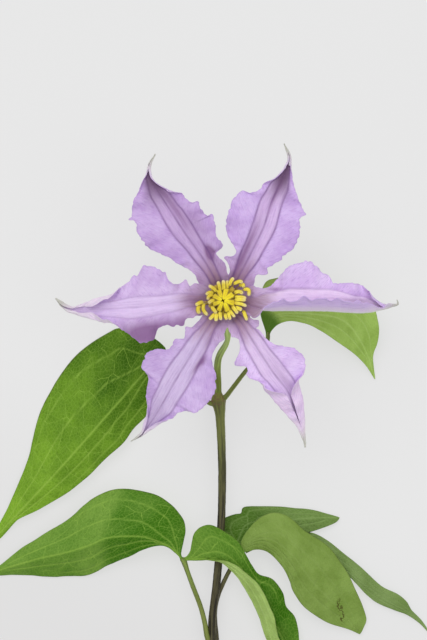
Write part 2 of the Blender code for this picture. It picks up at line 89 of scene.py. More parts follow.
# Sepals. "midrib" runs from the base to the tip. "left" and "right" are the two outlines, as seen from
# above by someone looking along the midrib. "slope" is how steeply the halves rise away from the midrib,
# "roll" is (share of the length, degrees that the margin turns over, share of the width where the turn
# starts), and "veins" are the side veins' distances from the midrib in mm along the sepal.
# "look" is (bar colour, bar amount, blade colour, back colour, vein strength, strength of the painted shade
# in the hollow of the rolled-in tip).
SEPALS = {}
SEPALS["sepal_upper_left"] = {
    "look": ((0.8, 0.69, 0.85), 0.6, (0.81, 0.7, 0.89), (0.85, 0.77, 0.9), 0.8, 1.25),
    "shade": (
        (0.27, 3.0, 0.045, 1.2, 1.6), (0.24, 2.3, 0.035, 1.1, 1.0), (0.6, 1.6, 0.16, 1.2, 0.6),
        (0.8, 0.6, 0.1, 1.2, 0.6), (0.47, 4.6, 0.12, 2.0, 0.4),
    ),
    "midrib": (
        (-1.15, 2.1, 26.1), (-2.2, 4.4, 27.4), (-3.6, 7.4, 28.7), (-7, 13, 30), (-12, 20, 30.8),
        (-16.5, 27, 30.6), (-20, 32.5, 29.8), (-22.3, 36.8, 29), (-22, 40, 29.4), (-20.3, 42.7, 30.4),
    ),
    "left": (
        (-4.1, 2.3), (-6.6, 4.1), (-8.2, 5.9), (-8.8, 7.4), (-10.2, 8.7), (-12.2, 9.9), (-14.2, 10.9),
        (-16.2, 12.4), (-18.2, 13.2), (-20.7, 14.4), (-22.7, 15.8), (-24.5, 18), (-25.7, 20), (-26.1, 22.8),
        (-27.8, 23.6), (-27, 25), (-27.2, 27), (-26.5, 29.5), (-25.3, 31.5), (-24.4, 34), (-22.9, 36.5),
        (-22.5, 38), (-22.1, 39.6),
    ),
    "right": (
        (0.8, 4.3), (1.1, 6.8), (0.5, 8.3), (0.1, 10.6), (-1.7, 12.5), (-2.6, 13.8), (-1.8, 14.6), (-0.8, 16),
        (-1.1, 17.2), (-2.1, 17.9), (-2.7, 20), (-2.8, 22), (-3.8, 25), (-5, 24.4), (-6, 25.3), (-7.2, 27.3),
        (-8, 28.9), (-9.5, 28.5), (-11, 29.3), (-12.5, 30.8), (-14.5, 31.7), (-16.5, 32.3), (-18.5, 33.2),
        (-20.5, 34.5), (-21.7, 36.6), (-21.7, 39.4),
    ),
    "slope": (9.0, 12.0),
    "roll_left": ((0, 0, 0.8), (0.74, 0, 0.75), (0.86, 110, 0.7), (0.93, 165, 0.5), (1, 170, 0.5)),
    "roll_right": ((0, 0, 0.8), (0.66, 0, 0.8), (0.76, 120, 0.74), (0.9, 165, 0.5), (1, 170, 0.5)),
    "veins": ((0, 0.5), (0.1, 1.7), (0.3, 2.6), (0.5, 3.3), (0.7, 2.8), (0.85, 1.2), (1, 0)),
}
SEPALS["sepal_upper_right"] = {
    "look": ((0.86, 0.75, 0.9), 0.6, (0.84, 0.73, 0.93), (0.85, 0.77, 0.9), 0.85, 1.4),
    "shade": (
        (0.2, -1.6, 0.2, 1.1, 0.75), (0.36, -2.2, 0.14, 0.8, 0.4), (0.2, 1.2, 0.1, 1.0, 0.3),
        (0.64, 0.2, 0.09, 0.6, 0.55), (0.8, 0.0, 0.11, 1.3, 1.0),
    ),
    "midrib": (
        (1.3, 2, 26.1), (2.6, 4.3, 27.4), (4.3, 7.4, 28.7), (8, 14.5, 30.1), (11.3, 21.5, 30.8),
        (13.3, 28, 30.5), (16, 34, 29.6), (18.3, 39, 28.9), (18.9, 42, 29.2), (17.2, 45.7, 30.6),
    ),
    "left": (
        (0.1, 4.2), (0.7, 6.9), (1.4, 8.5), (0.8, 11), (0, 12.2), (0.3, 12.9), (1.5, 12.7), (2.8, 13.3),
        (3.2, 14.5), (2.5, 16), (1.3, 17.8), (0.6, 20), (0.3, 22.5), (0.6, 25), (1.6, 27), (2, 29),
        (3.2, 30.5), (4.3, 31.5), (5.3, 31.9), (7, 31.4), (8.7, 31.6), (10.3, 32.5), (11.5, 34), (12.5, 34.8),
        (14.5, 35.5), (16, 37), (17.5, 38.8), (18.4, 40.6), (18.4, 42.3),
    ),
    "right": (
        (4.8, 2.1), (7.5, 3.6), (8.6, 5.2), (8.8, 6.5), (9.5, 7.5), (11.3, 7.4), (12.4, 7.9), (12.3, 9.5),
        (13.5, 9.9), (14.5, 10.8), (16, 11.5), (17, 12.8), (18.8, 14.2), (20, 15.5), (21, 17.2), (21.8, 19.5),
        (21.8, 22), (22, 24.2), (23.3, 24.9), (22.7, 26.5), (22, 28.2), (21.3, 30), (20.5, 32), (19.8, 34.5),
        (19.2, 37), (19, 39.5), (18.9, 42.3),
    ),
    "slope": (10.0, 10.0),
    "roll_left": ((0, 0, 0.8), (0.7, 0, 0.8), (0.8, 110, 0.72), (0.92, 165, 0.5), (1, 170, 0.5)),
    "roll_right": ((0, 0, 0.8), (0.74, 0, 0.8), (0.84, 100, 0.76), (0.93, 165, 0.5), (1, 170, 0.5)),
    "veins": ((0, 0.5), (0.1, 1.8), (0.3, 2.9), (0.5, 3.4), (0.7, 3), (0.85, 1.4), (1, 0)),
}
SEPALS["sepal_right"] = {
    "look": ((0.95, 0.87, 0.98), 0.95, (0.91, 0.81, 0.98), (0.84, 0.74, 0.93), 0.26, 0.3),
    "shade": (
        (0.24, -6.2, 0.05, 0.6, 0.6), (0.4, -6.5, 0.12, 0.5, 0.2), (0.78, -1.4, 0.1, 1.0, 0.5),
        (0.13, 0.0, 0.07, 4.0, 0.3), (0.72, -3.6, 0.12, 0.5, 0.35),
    ),
    "midrib": (
        (2.4, 0.1, 26.1), (5, -0.4, 27.5), (8, -1.8, 28.8), (12, -2.8, 29.6), (20, -3, 30.2),
        (30, -3.1, 29.8), (40, -3.6, 28.6), (45, -2.8, 28.2), (48.5, -1.9, 28.6), (50.6, -1.2, 29.4),
        (50.2, 0.2, 29.8),
    ),
    "left": (
        (4.5, 2.7), (7.1, 4.1), (8.2, 4.4), (9.5, 3.8), (11, 3.5), (13, 4), (14.3, 5.2), (15.5, 6.3),
        (16.5, 7.8), (18, 9.5), (20, 10.4), (22.5, 11), (24.5, 11.4), (26, 10.5), (27.3, 9.5), (28, 8.3),
        (30, 7.3), (31, 5.8), (32, 4.9), (34, 5), (38, 5), (40, 4), (41.8, 3), (43, 1.3), (44.5, -0.2),
        (46, -1.1), (48, -1.6), (50.1, -1.1),
    ),
    "fold": (
        (0, 1.4), (0.06, 2.4), (0.12, 3), (0.19, 5), (0.32, 6.6), (0.5, 7), (0.72, 6), (0.88, 2.2), (1, 0.3),
    ),
    "fold_slope": ((0, 8), (0.12, 20), (0.2, 104), (0.32, 121), (0.8, 124), (1, 122)),
    "slope": (10.0, 0.0),
    "roll_left": ((0, 0, 0.8), (0.74, 0, 0.8), (0.84, 110, 0.6), (0.9, 165, 0.46), (1, 168, 0.45)),
    "roll_right": ((0, 0, 0.8), (1, 0, 0.8)),
    "veins": ((0, 0.5), (0.1, 2.2), (0.2, 5), (0.35, 6.5), (0.6, 6.4), (0.75, 4.8), (0.88, 2), (1, 0)),
}
SEPALS["sepal_lower_right"] = {
    "look": ((0.89, 0.8, 0.93), 0.7, (0.91, 0.81, 0.98), (0.91, 0.82, 0.94), 0.62, 0.5),
    "shade": ((0.16, 2.0, 0.08, 1.3, 0.3), (0.6, -1.4, 0.14, 1.0, 0.3)),
    "midrib": (
        (1.4, -2, 26.1), (3, -4.6, 27.4), (5.2, -7.2, 28.6), (10, -15, 29.8), (14, -21, 29.8),
        (18.5, -27, 28.8), (20.8, -33, 27.4), (22.6, -38.5, 26.6), (23.4, -43, 26.6),
    ),
    "left": (
        (4.5, -2.2), (6.9, -3.7), (7.4, -5), (8.4, -5.6), (9.8, -5.9), (9.7, -7.5), (9.1, -8.2), (10.3, -9),
        (11.8, -11), (13, -12), (15, -13), (17.5, -13.5), (20, -14), (22, -15.3), (23, -16.5), (23.4, -18.5),
        (23, -20.9), (22, -22.4), (21.4, -23.6), (22, -26), (22.7, -30), (23, -34), (23.1, -38),
        (23.6, -41.5),
    ),
    "right": (
        (-0.1, -4.2), (0.3, -7), (1.2, -9), (1.9, -10.6), (3.6, -11), (4.2, -12), (4.4, -14), (4, -15.8),
        (2.7, -17.9), (2.8, -18.9), (4, -19.1), (6, -19.3), (6.6, -20.5), (6.3, -21.8), (7.2, -22.6),
        (8.8, -23.5), (10.5, -24.4), (12.5, -27), (15, -30), (18, -33.3), (20.5, -35.8), (22, -38.5),
        (22.9, -41.2),
    ),
    "slope": (8.0, 8.0),
    "roll_left": ((0, 0, 0.8), (0.54, 0, 0.8), (0.6, 90, 0.7), (0.68, 168, 0.44), (1, 172, 0.42)),
    "roll_right": ((0, 0, 0.8), (0.5, 0, 0.8), (0.57, 100, 0.72), (0.67, 168, 0.46), (1, 172, 0.42)),
    "veins": ((0, 0.5), (0.1, 1.6), (0.3, 2.9), (0.5, 3.6), (0.7, 3.2), (0.85, 1.6), (1, 0)),
}
SEPALS["sepal_lower_left"] = {
    "look": ((0.85, 0.78, 0.91), 0.7, (0.83, 0.73, 0.91), (0.87, 0.79, 0.92), 0.62, 0.25),
    "shade": ((0.34, -3.7, 0.05, 0.9, 0.9), (0.4, -3.2, 0.05, 0.6, 0.6), (0.2, -2.2, 0.1, 0.9, 0.35)),
    "midrib": (
        (-1.15, -2.1, 26.1), (-2.6, -4.8, 27.4), (-5, -8, 28.6), (-9.4, -15.2, 29.8), (-12.9, -20.9, 30),
        (-16.8, -27.6, 29.4), (-20, -33.2, 28.2), (-22.7, -37, 27.2), (-24.6, -39.6, 27),
        (-27.5, -41.2, 27.6),
    ),
    "left": (
        (0.2, -4.2), (0.9, -6.8), (0.2, -8.8), (-0.3, -9.9), (-0.1, -11.3), (-0.9, -12), (-2.3, -13),
        (-3.2, -14.5), (-3.7, -16.2), (-3.7, -18), (-3.3, -20), (-2.6, -21.9), (-2.9, -24), (-2.6, -25.5),
        (-3.2, -27.2), (-4, -28.7), (-5.1, -29.9), (-6.2, -31.1), (-7.6, -32.2), (-9, -32.9), (-10.4, -32.4),
        (-11.8, -32.3), (-13.6, -32.9), (-14.7, -33.8), (-16.3, -34.3), (-17.9, -35.2), (-20, -36.5),
        (-22.1, -37.9), (-24, -39.2),
    ),
    "right": (
        (-4, -2.2), (-6.2, -3.8), (-7.3, -5.5), (-8.3, -6.4), (-9.7, -7.9), (-11.4, -7.8), (-11.7, -9.9),
        (-12.1, -11.2), (-14.3, -11.3), (-15.2, -12), (-15.6, -13.4), (-17, -14.4), (-20, -14.2),
        (-22.1, -15), (-23.2, -15.9), (-23.7, -17.3), (-24.3, -18.7), (-24.2, -20), (-23.2, -20.9),
        (-22.4, -22.3), (-22.5, -23.7), (-22.9, -25.5), (-22.8, -27.6), (-22.6, -30), (-22.6, -32.5),
        (-23, -34), (-23.7, -36.5), (-24.6, -38.8),
    ),
    "slope": (8.0, 9.0),
    "roll_left": ((0, 0, 0.8), (0.7, 0, 0.8), (0.8, 110, 0.66), (0.9, 165, 0.48), (1, 170, 0.45)),
    "roll_right": ((0, 0, 0.8), (0.7, 0, 0.8), (0.8, 100, 0.72), (0.9, 160, 0.5), (1, 170, 0.45)),
    "veins": ((0, 0.5), (0.1, 1.8), (0.3, 3.2), (0.5, 3.9), (0.7, 3.6), (0.85, 1.8), (1, 0)),
}
SEPALS["sepal_left"] = {
    "look": ((0.89, 0.8, 0.95), 0.95, (0.87, 0.77, 0.94), (0.91, 0.85, 0.92), 0.24, 0.2),
    "shade": ((0.16, 0.0, 0.07, 2.4, 0.5), (0.42, -8.0, 0.22, 3.6, 1.25), (0.2, -6.0, 0.06, 2.0, 0.5)),
    "midrib": (
        (-2.4, 0, 26.1), (-5, -0.1, 27.5), (-8, -0.2, 28.8), (-12, -0.3, 29.6), (-20, -1.5, 30.4),
        (-28, -2.3, 30.4), (-36, -2.6, 29.4), (-43, -2.8, 28.6), (-47.5, -1.8, 28.8), (-49.5, 0.6, 29.8),
    ),
    "left": (
        (-3.7, -2.6), (-6, -4.1), (-7.5, -4.5), (-8.5, -4.6), (-9.5, -5.2), (-10.8, -5.2), (-11.7, -6),
        (-12, -7.2), (-13, -7.5), (-14.2, -7.1), (-15, -7.8), (-16.2, -7.3), (-18, -7.6), (-19.5, -8.5),
        (-20.3, -10), (-21, -11.5), (-23.5, -12.4), (-25, -12.3), (-26.3, -11.3), (-28, -10), (-30, -8.5),
        (-32, -7.2), (-35, -6.4), (-38, -5.7), (-41, -4.7), (-44, -3.7), (-46.5, -2.8),
    ),
    "right": (
        (-3.9, 2.8), (-6.3, 4.5), (-7.8, 4.9), (-9, 5), (-10.2, 4.1), (-10.9, 5.3), (-11.5, 6), (-12.2, 5.3),
        (-13.5, 4.7), (-15, 5), (-16.5, 6), (-17.5, 8), (-18.8, 8.7), (-20.5, 9.6), (-22.5, 10), (-24, 10),
        (-24.8, 8.5), (-25.5, 7.3), (-27, 6.9), (-28, 5.5), (-29.5, 4.5), (-31, 3.2), (-33, 2), (-36, 0.8),
        (-39, 0), (-42, -1.2), (-44.5, -2),
    ),
    "slope": (9.0, 9.0),
    "roll_left": (
        (0, 0, 0.8), (0.6, 0, 0.8), (0.7, 120, 0.62), (0.77, 168, 0.5), (0.84, 164, 0.56), (0.89, 170, 0.5),
        (1, 170, 0.45),
    ),
    "roll_right": (
        (0, 0, 0.8), (0.6, 0, 0.8), (0.7, 120, 0.62), (0.77, 168, 0.5), (0.84, 164, 0.56), (0.89, 170, 0.5),
        (1, 170, 0.45),
    ),
    "veins": ((0, 0.5), (0.1, 1.7), (0.3, 2.6), (0.5, 3.2), (0.7, 2.4), (0.85, 1.2), (1, 0)),
}

# Leaves, drawn in the same way. "up" is the side that faces up: the upper, glossy side or the pale
# underside. The tone profile runs from the look's deep green (0) to its light green (1) along the leaf; it
# holds the leaf's own change of green and also painted highlight bands and painted shade in hollows. The
# side tone, where given, makes one half lighter and the other darker: painted light.
LEAVES = {}
LEAVES["leaf_upper_left"] = {
    "midrib": (
        (-17.3, -15.6, 5.5), (-20, -17.5, 5.9), (-24, -21.5, 6), (-30, -28.5, 5.8), (-36, -35.3, 5.4),
        (-43.5, -43.8, 4.8), (-50, -51, 4), (-57, -58.5, 3), (-65, -67, 1.4), (-71, -74, 0.6),
    ),
    "left": (
        (-15.2, -16.6), (-15, -18), (-16, -22), (-19, -28), (-22.9, -33.7), (-26.9, -37.8), (-29.8, -41.8),
        (-34.8, -46.3), (-39.8, -51.3), (-44.9, -55.5), (-49.9, -58.8), (-55, -61.7), (-60, -64),
        (-62, -65.5), (-65.5, -69.5),
    ),
    "right": (
        (-17.6, -13.9), (-20.5, -11.3), (-25, -9), (-31, -8.2), (-34.2, -9.4), (-40.2, -13.1), (-44.3, -16.7),
        (-48.3, -21.7), (-51.4, -26.8), (-54.4, -32.8), (-56.4, -39.9), (-57.8, -46), (-60, -52), (-63, -59),
        (-65.5, -64),
    ),
    "slope": (-10.0, -12.0),
    "bow": (-6.0, -6.0),
    "up": "upper",
    "look": "fresh",
    "tone_and_painted_light": ((0, 0.1), (0.2, 0.2), (0.5, 0.6), (1, 1)),
}
LEAVES["leaf_upper_right"] = {
    "midrib": (
        (12.6, -11, 10), (13.3, -6.6, 12), (15.4, -4.3, 13.2), (20, -3.7, 14.2), (28, -4.2, 14),
        (33.5, -5.3, 12.4), (37, -7.8, 10), (39.8, -11.8, 7), (42.2, -16.8, 3.6), (44.2, -23.2, 0.8),
    ),
    "left": (
        (11.9, -9), (10.8, -5.5), (10.4, -3.5), (10.3, 1), (11.3, 4.3), (12.5, 5.8), (14.5, 6.4), (20, 7.2),
        (28, 5.8), (35, 3.4), (40, 1), (43.6, -1.8), (44.9, -5.5), (45.3, -9), (44.9, -12.5), (43.7, -16),
        (43.8, -19.5),
    ),
    "right": (
        (13.4, -9.4), (15, -7.5), (17, -6.5), (20, -6.1), (24, -6.9), (28, -8.9), (32, -11.5), (36, -14.2),
        (39, -16.6), (41.8, -19.6),
    ),
    "slope": (-4.0, -14.0),
    "bow": (0.0, -6.0),
    "up": "under",
    "look": "sunlit",
    "tone_and_painted_light": ((0, 0), (0.09, 0.1), (0.24, 0.8), (1, 1)),
}
LEAVES["leaflet_left_outer"] = {
    "midrib": (
        (-12.6, -76.4, 4.6), (-15.5, -73, 5.6), (-18.5, -71.3, 6.5), (-25, -69.4, 7.8), (-34, -69.7, 8),
        (-40, -72, 7.4), (-47, -74.2, 6), (-55, -76, 4.2), (-66, -79.3, 1.8), (-72, -82, 0.6),
    ),
    "left": (
        (-13.5, -75.5), (-15, -74), (-17, -72.5), (-19, -72.1), (-22, -72.6), (-25, -73.7), (-28, -75.4),
        (-32, -77), (-35, -78.1), (-38, -80), (-41, -81), (-45, -81.3), (-50, -81.3), (-58, -81.1),
        (-66, -81),
    ),
    "right": (
        (-12.9, -74.6), (-12.2, -71), (-11.6, -68), (-12, -65), (-13.6, -62.5), (-16, -60), (-20, -57.3),
        (-25, -55.9), (-30, -55.4), (-34, -56), (-38.2, -57.9), (-41.7, -60.4), (-44.3, -62.9), (-48, -65.7),
        (-52, -68), (-56, -70.5), (-60, -73), (-66, -77.8),
    ),
    "slope": (-34.0, -4.0),
    "bow": (-4.0, -12.0),
    "up": "upper",
    "look": "dark",
    "tone_and_painted_light": ((0, 0.25), (0.2, 0.1), (0.36, 0.15), (0.44, 0.95), (0.6, 0.7), (1, 0.8)),
    "painted_side_light": 0.2,
}
LEAVES["leaflet_left_inner"] = {
    "midrib": (
        (-12, -76.2, 4.7), (-7, -75.9, 6.4), (-3, -76.2, 7.8), (0, -77.5, 8.4), (4, -81.5, 8), (8, -88, 6.4),
        (10.5, -94, 4.6), (13, -101, 2.6), (17.5, -106, 1.4), (24, -110, 0.7),
    ),
    "left": (
        (-11.2, -75.2), (-10.2, -73.6), (-9.7, -71), (-9, -68.4), (-7, -66.5), (-4, -66), (0, -68), (4, -71),
        (6, -74.5), (8, -78), (10, -80.5), (14, -82), (17, -86), (18, -90), (20.5, -93), (21.6, -97),
        (22, -101), (23.5, -106),
    ),
    "fold": ((0, 0.5), (0.12, 0.9), (0.2, 1.8), (0.3, 4.2), (0.42, 6.3), (0.6, 6.6), (0.8, 4.8), (1, 0.4)),
    "fold_slope": ((0, 30), (0.14, 60), (0.24, 112), (0.4, 122), (0.7, 124), (1, 120)),
    "slope": (10.0, 0.0),
    "bow": (-14.0, 10.0),
    "up": "upper",
    "look": "dark",
    "tone_and_painted_light": ((0, 0.9), (0.25, 0.5), (0.45, 0.1), (1, 0.2)),
}
LEAVES["leaflet_right_back"] = {
    "midrib": (
        (3.6, -74, 3.2), (5, -70.5, 3.6), (10, -67, 4.4), (18, -64.8, 4.2), (26, -64, 2.6), (33.8, -64, 0.8),
    ),
    "left": (
        (2, -72), (-0.2, -69), (-1, -66.5), (-0.4, -64.3), (1, -63.6), (3, -63), (4.8, -62.7), (5.2, -61.4),
        (6.5, -60.8), (11, -60.6), (15, -60.7), (20, -61.1), (25, -61.6), (30, -62.8),
    ),
    "right": ((5.5, -72.6), (10, -70.8), (18, -69.5), (24.8, -68.3), (28, -67.3), (32.5, -65.5)),
    "slope": (-18.0, -10.0),
    "bow": (-8.0, -4.0),
    "up": "upper",
    "look": "grey",
    "tone_and_painted_light": ((0, 0), (0.35, 0.2), (0.55, 0.9), (1, 1)),
}
LEAVES["leaflet_right_broad"] = {
    "midrib": (
        (4.6, -74, 4.8), (9, -70.4, 6.6), (14, -70.4, 8), (20, -75, 8.4), (26, -83, 7), (33, -90, 4.2),
        (39.8, -98.3, 0.8),
    ),
    "left": (
        (4.7, -72.4), (4.8, -71), (6, -68.5), (9, -65), (12, -63), (15, -62.4), (18, -63.2), (20.5, -65),
        (23.5, -67.8), (30, -72), (34, -77), (36.2, -80.4), (38.4, -85.3), (40.5, -89.8), (41.7, -93.8),
        (40.8, -96.5),
    ),
    "right": (
        (6, -74), (9, -73.3), (11.5, -73.6), (14, -75), (17, -78.5), (19, -82.5), (20, -85.5), (23, -89.8),
        (27, -93), (31, -95.2), (36, -96.7),
    ),
    "slope": (-6.0, -10.0),
    "bow": (-10.0, -8.0),
    "up": "under",
    "look": "pale",
    "tone_and_painted_light": ((0, 0.5), (1, 0.5)),
}
LEAVES["leaflet_right_narrow"] = {
    "midrib": (
        (6, -73.9, 2.6), (13, -72.3, 2.1), (21, -72.2, 1.8), (28, -74.3, 2), (35, -79, 2.2), (42, -84.3, 2.2),
        (48, -88.4, 1.8), (55, -92.4, 1.2), (58, -95, 0.9), (61, -99, 0.6),
    ),
    "left": (
        (12, -70.5), (20, -69), (25, -68.3), (30, -70.5), (35, -74.5), (40, -78.5), (46, -84), (51, -86.6),
        (53.5, -88.7), (55, -91.2), (58, -94.3),
    ),
    "right": (
        (10, -73), (13.5, -73.6), (17, -75.6), (22, -76.6), (30, -78.6), (36.2, -81.2), (38.5, -83.3),
        (42, -86.9), (45, -89.2), (50, -91.3), (54, -92.8), (57.6, -95.4),
    ),
    "slope": (-5.0, -5.0),
    "bow": (-4.0, -4.0),
    "up": "under",
    "look": "grey",
    "tone_and_painted_light": ((0, 0.5), (1, 0.6)),
}
# The side veins of a leaf half: places as shares of the half's width along the leaf, strength, and end
LEAF_VEINS = (
    (((0, 0), (0.12, 0.2), (0.3, 0.36), (0.5, 0.42), (0.75, 0.4), (1, 0.2)), 0.9, 0.95),
    (((0, 0), (0.08, 0.4), (0.2, 0.68), (0.4, 0.78), (0.6, 0.82), (1, 0.9)), 0.75, 0.68),
)
# Leaf colours. "back_veins" is how clearly the veins show on the back and "back_base" how dark the back's
# base is. "scar" is the place along the leaf, slant, half width and half length of a scar, in mm.
LOOKS = {
    "fresh": {
        "deep": (0.22, 0.39, 0.0), "light": (0.50, 0.67, 0.18), "vein": (0.60, 0.74, 0.30),
        "back": (0.62, 0.73, 0.38), "back_veins": 0.5,
    },
    "dark": {
        "deep": (0.22, 0.43, 0.0), "light": (0.45, 0.60, 0.23), "vein": (0.58, 0.72, 0.30),
        "back": (0.62, 0.735, 0.39), "back_veins": 0.5,
    },
    "grey": {
        "deep": (0.27, 0.42, 0.08), "light": (0.45, 0.56, 0.29), "vein": (0.52, 0.63, 0.36),
        "back": (0.45, 0.55, 0.30), "back_veins": 0.25,
    },
    "pale": {
        "deep": (0.36, 0.49, 0.14), "light": (0.52, 0.62, 0.27), "vein": (0.62, 0.71, 0.40),
        "back": (0.47, 0.575, 0.26), "back_veins": 0.22,
        "scar": (41.0, 0.57, 0.5, 3.4),
    },
    "sunlit": {
        "deep": (0.28, 0.45, 0.10), "light": (0.60, 0.70, 0.34), "vein": (0.66, 0.76, 0.44),
        "back": (0.60, 0.73, 0.34), "back_veins": 0.7, "back_base": 0.9,
    },
}

# Round pieces: (x, y, z, radius) along the centre line
STEM = (
    (-4.1, -116, 1.3, 1.13), (-4, -108, 2.1, 1.12), (-3.95, -102.8, 2.8, 1.25), (-3.9, -100.5, 3, 1.6),
    (-3.8, -98.6, 3.05, 1.3), (-3.65, -93, 3.1, 1.15), (-2.65, -85, 3.3, 1.15), (-1.75, -75, 3.6, 1.15),
    (-1.05, -64, 3.9, 1.12), (-0.8, -52, 4.3, 1.15), (-1, -43, 4.6, 1.2), (-1.35, -35, 4.9, 1.35),
    (-1.6, -31.6, 5, 1.75), (-1.9, -29.9, 5, 2.2), (-2.05, -28.5, 5.1, 1.8), (-2.05, -27.3, 5.2, 1.2),
    (-2, -26.4, 5.4, 0.8),
)
FLOWER_STALK = (
    (-1.9, -29.2, 5.1, 1.1), (-1.95, -27.6, 5.3, 0.98), (-2, -24, 6.4, 0.96), (-2.2, -20, 9, 1.02),
    (-1.9, -17.2, 11.6, 1), (-1, -15, 13.8, 0.96), (0.1, -13.2, 15.6, 0.88), (0.75, -11.6, 17.2, 0.78),
    (0.8, -9.9, 18.3, 1), (0.85, -8, 19.2, 0.96), (0.7, -4.4, 20.6, 0.95), (0.2, -1, 21.4, 1),
    (0, -0.1, 22.9, 1.1), (0, 0, 25.2, 1.5),
)
PETIOLES = {
    "petiole_upper_left": (
        (-3.6, -30.3, 5.1, 0.9), (-4.9, -29.9, 5.2, 0.68), (-7.5, -27, 5.5, 0.6), (-10.5, -21, 5.7, 0.6),
        (-13.5, -16.8, 5.6, 0.6), (-16.5, -15, 5.4, 0.62), (-18.4, -16.2, 5.5, 0.4),
    ),
    "petiole_upper_right": (
        (-0.6, -29, 5.2, 0.95), (0.8, -27.6, 5.4, 0.72), (4.3, -23, 6.3, 0.64), (6.4, -20.4, 7, 0.62),
        (9.2, -17.2, 8, 0.6), (11.6, -13.6, 9, 0.62), (12.5, -11.4, 9.7, 0.66), (12.8, -9.2, 10.6, 0.4),
    ),
    "petiole_lower_left": (
        (-4.8, -100, 3.6, 0.9), (-5.4, -98.3, 4, 0.76), (-5.9, -95, 3.9, 0.72), (-7.2, -90, 3.6, 0.7),
        (-9.1, -85, 3.6, 0.7), (-10.9, -80.1, 3.9, 0.68), (-12, -76.9, 4.3, 0.85), (-12.7, -75.9, 4.6, 0.6),
    ),
    "petiole_lower_right": (
        (-2.6, -99.8, 2.3, 0.9), (-2.55, -98.2, 1.5, 0.68), (-2.9, -94, 0.85, 0.64),
        (-2.8, -90.5, 0.85, 0.64), (-2, -87, 1.2, 0.64), (-0.6, -83.5, 2.2, 0.64), (1.5, -79.3, 3.1, 0.64),
        (3.9, -75.6, 3.7, 0.8), (4.4, -74.4, 4.2, 0.6),
    ),
}
RECEPTACLE = (
    (0, 0, 24.9, 1.3), (0, 0, 25.4, 2), (0, 0, 25.9, 2.7), (0, 0, 26.3, 2.9), (0, 0, 26.7, 2.5),
    (0, 0, 27.2, 1.6), (0, 0, 27.5, 0.6),
)

PISTILS = ((0, 0, 27.3, 0.9), (-0.2, 0.1, 29, 1.1), (-0.5, 0.2, 30.8, 1.1), (-0.6, 0.3, 31.9, 0.5))
# Their skins: main colour, streaks, colour at the far end, (where along the piece the change to it starts
# and ends), roughness and, at a node, how rusty it is
SKINS = {
    "stem_skin": ((0.15, 0.13, 0.1), (0.36, 0.34, 0.23), (0.5, 0.53, 0.27), (0.55, 1.0), 0.5, 1.0),
    "stalk_skin": ((0.42, 0.46, 0.19), (0.56, 0.64, 0.25), (0.82, 0.94, 0.54), (0.15, 0.66), 0.45),
    "petiole_skin": ((0.49, 0.53, 0.26), (0.38, 0.43, 0.17), (0.52, 0.6, 0.28), (0.3, 0.9), 0.45),
    "dark_petiole_skin": ((0.3, 0.27, 0.19), (0.4, 0.38, 0.27), (0.45, 0.46, 0.26), (0.5, 0.95), 0.5),
    "pistil_skin": ((0.42, 0.34, 0.08), (0.52, 0.45, 0.12), (0.4, 0.31, 0.08), (0.5, 0.98), 0.7),
}

# Stamens, by the middle line of each anther in plan, from where the filament joins it to its tip.
# Those of the inner ring lean over the pistils, and their tips leave a small star open.
TUFT_CENTRE = (-0.6, 0.1)
INNER_ANTHERS = (
    ((2.1, 1.7), (-0.1, 0.25), 2.3), ((2.5, -0.8), (-0.3, -0.15), 2.2), ((0.8, -3), (-0.2, -0.65), 2.2),
    ((-1.8, -2.9), (-0.7, -0.35), 1.8), ((-3.3, -1.1), (-1.15, -0.4), 1.8), ((-3.2, 1.3), (-0.9, 0), 1.9),
    ((-1.8, 2.9), (-0.85, 0.5), 1.9), ((0.4, 3.2), (-0.5, 0.15), 2),
)
OUTER_ANTHERS = (
    ((2.9, 2.3), (4.2, 2.5), (5.2, 1.9)), ((3, 0.9), (4.6, 0.9), (6.2, 0.6)),
    ((2.8, 0), (4.5, 0.2), (6.1, 0)), ((2.9, -0.8), (4.6, -1.1), (6.3, -1.7)),
    ((3.3, -2.1), (4, -2.4), (4.9, -2.8)), ((1.9, -1.5), (2.8, -2.6), (3.7, -3.9)),
    ((1, -2.4), (1.8, -3.6), (2.9, -4.9)), ((0.9, -3.5), (1.2, -4.6), (1.5, -5.7)),
    ((0.1, -4), (0.2, -4.9), (0.6, -5.6)), ((-1.4, -3.4), (-1.4, -4.4), (-1.2, -5.8)),
    ((-2.4, -4), (-2.6, -5), (-2.6, -6.1)), ((-3, -4), (-3.7, -4.7), (-4.6, -5.6)),
    ((-3.7, -1.9), (-3.2, -2.8), (-2.5, -3.8)), ((-6.1, -1.2), (-6.3, -2.8), (-5.1, -4.4)),
    ((-7.4, -1.7), (-7.9, -2.8), (-7.4, -3.9)), ((-6.6, -0.6), (-7.5, -0.8), (-8.6, -1.5)),
    ((-3.6, 1.5), (-4.7, 1.2), (-5, 0.1)), ((-3.5, 2.1), (-4.5, 2.3), (-5.6, 1.6)),
    ((-2.6, 2.6), (-3.4, 3.5), (-4.8, 4.3)), ((-1.4, 3), (-1.7, 4.2), (-2.1, 5.5)),
    ((-0.4, 3), (-0.4, 4.3), (-0.5, 5.9)), ((0.5, 3.4), (0.6, 4.6), (0.7, 5.8)),
    ((1.3, 4.4), (1.7, 5.5), (2.5, 6.6)), ((2.7, 4.8), (4.3, 5.5), (5.1, 5)),
    ((4.4, 4.3), (5.2, 4.6), (5.4, 3.6)), ((5.5, 3.1), (6.9, 3), (6.9, 1.2)),
    ((5.2, -3.2), (5.8, -4.3), (6.4, -5.9)), ((-2.7, 0.1), (-4, -0.2), (-4.9, -0.9)),
)
LOW_STAMENS = 22              # short ones that stand lower, between the others


def srgb(red, green, blue):
    """An sRGB colour as the linear RGBA that a shader takes."""
    linear = []
    for channel in (red, green, blue):
        linear.append(channel / 12.92 if channel <= 0.04045 else ((channel + 0.055) / 1.055) ** 2.4)
    return (*linear, 1.0)


def shifted(colour, red, green, blue):
    """An sRGB colour moved a little."""
    return colour[0] + red, colour[1] + green, colour[2] + blue


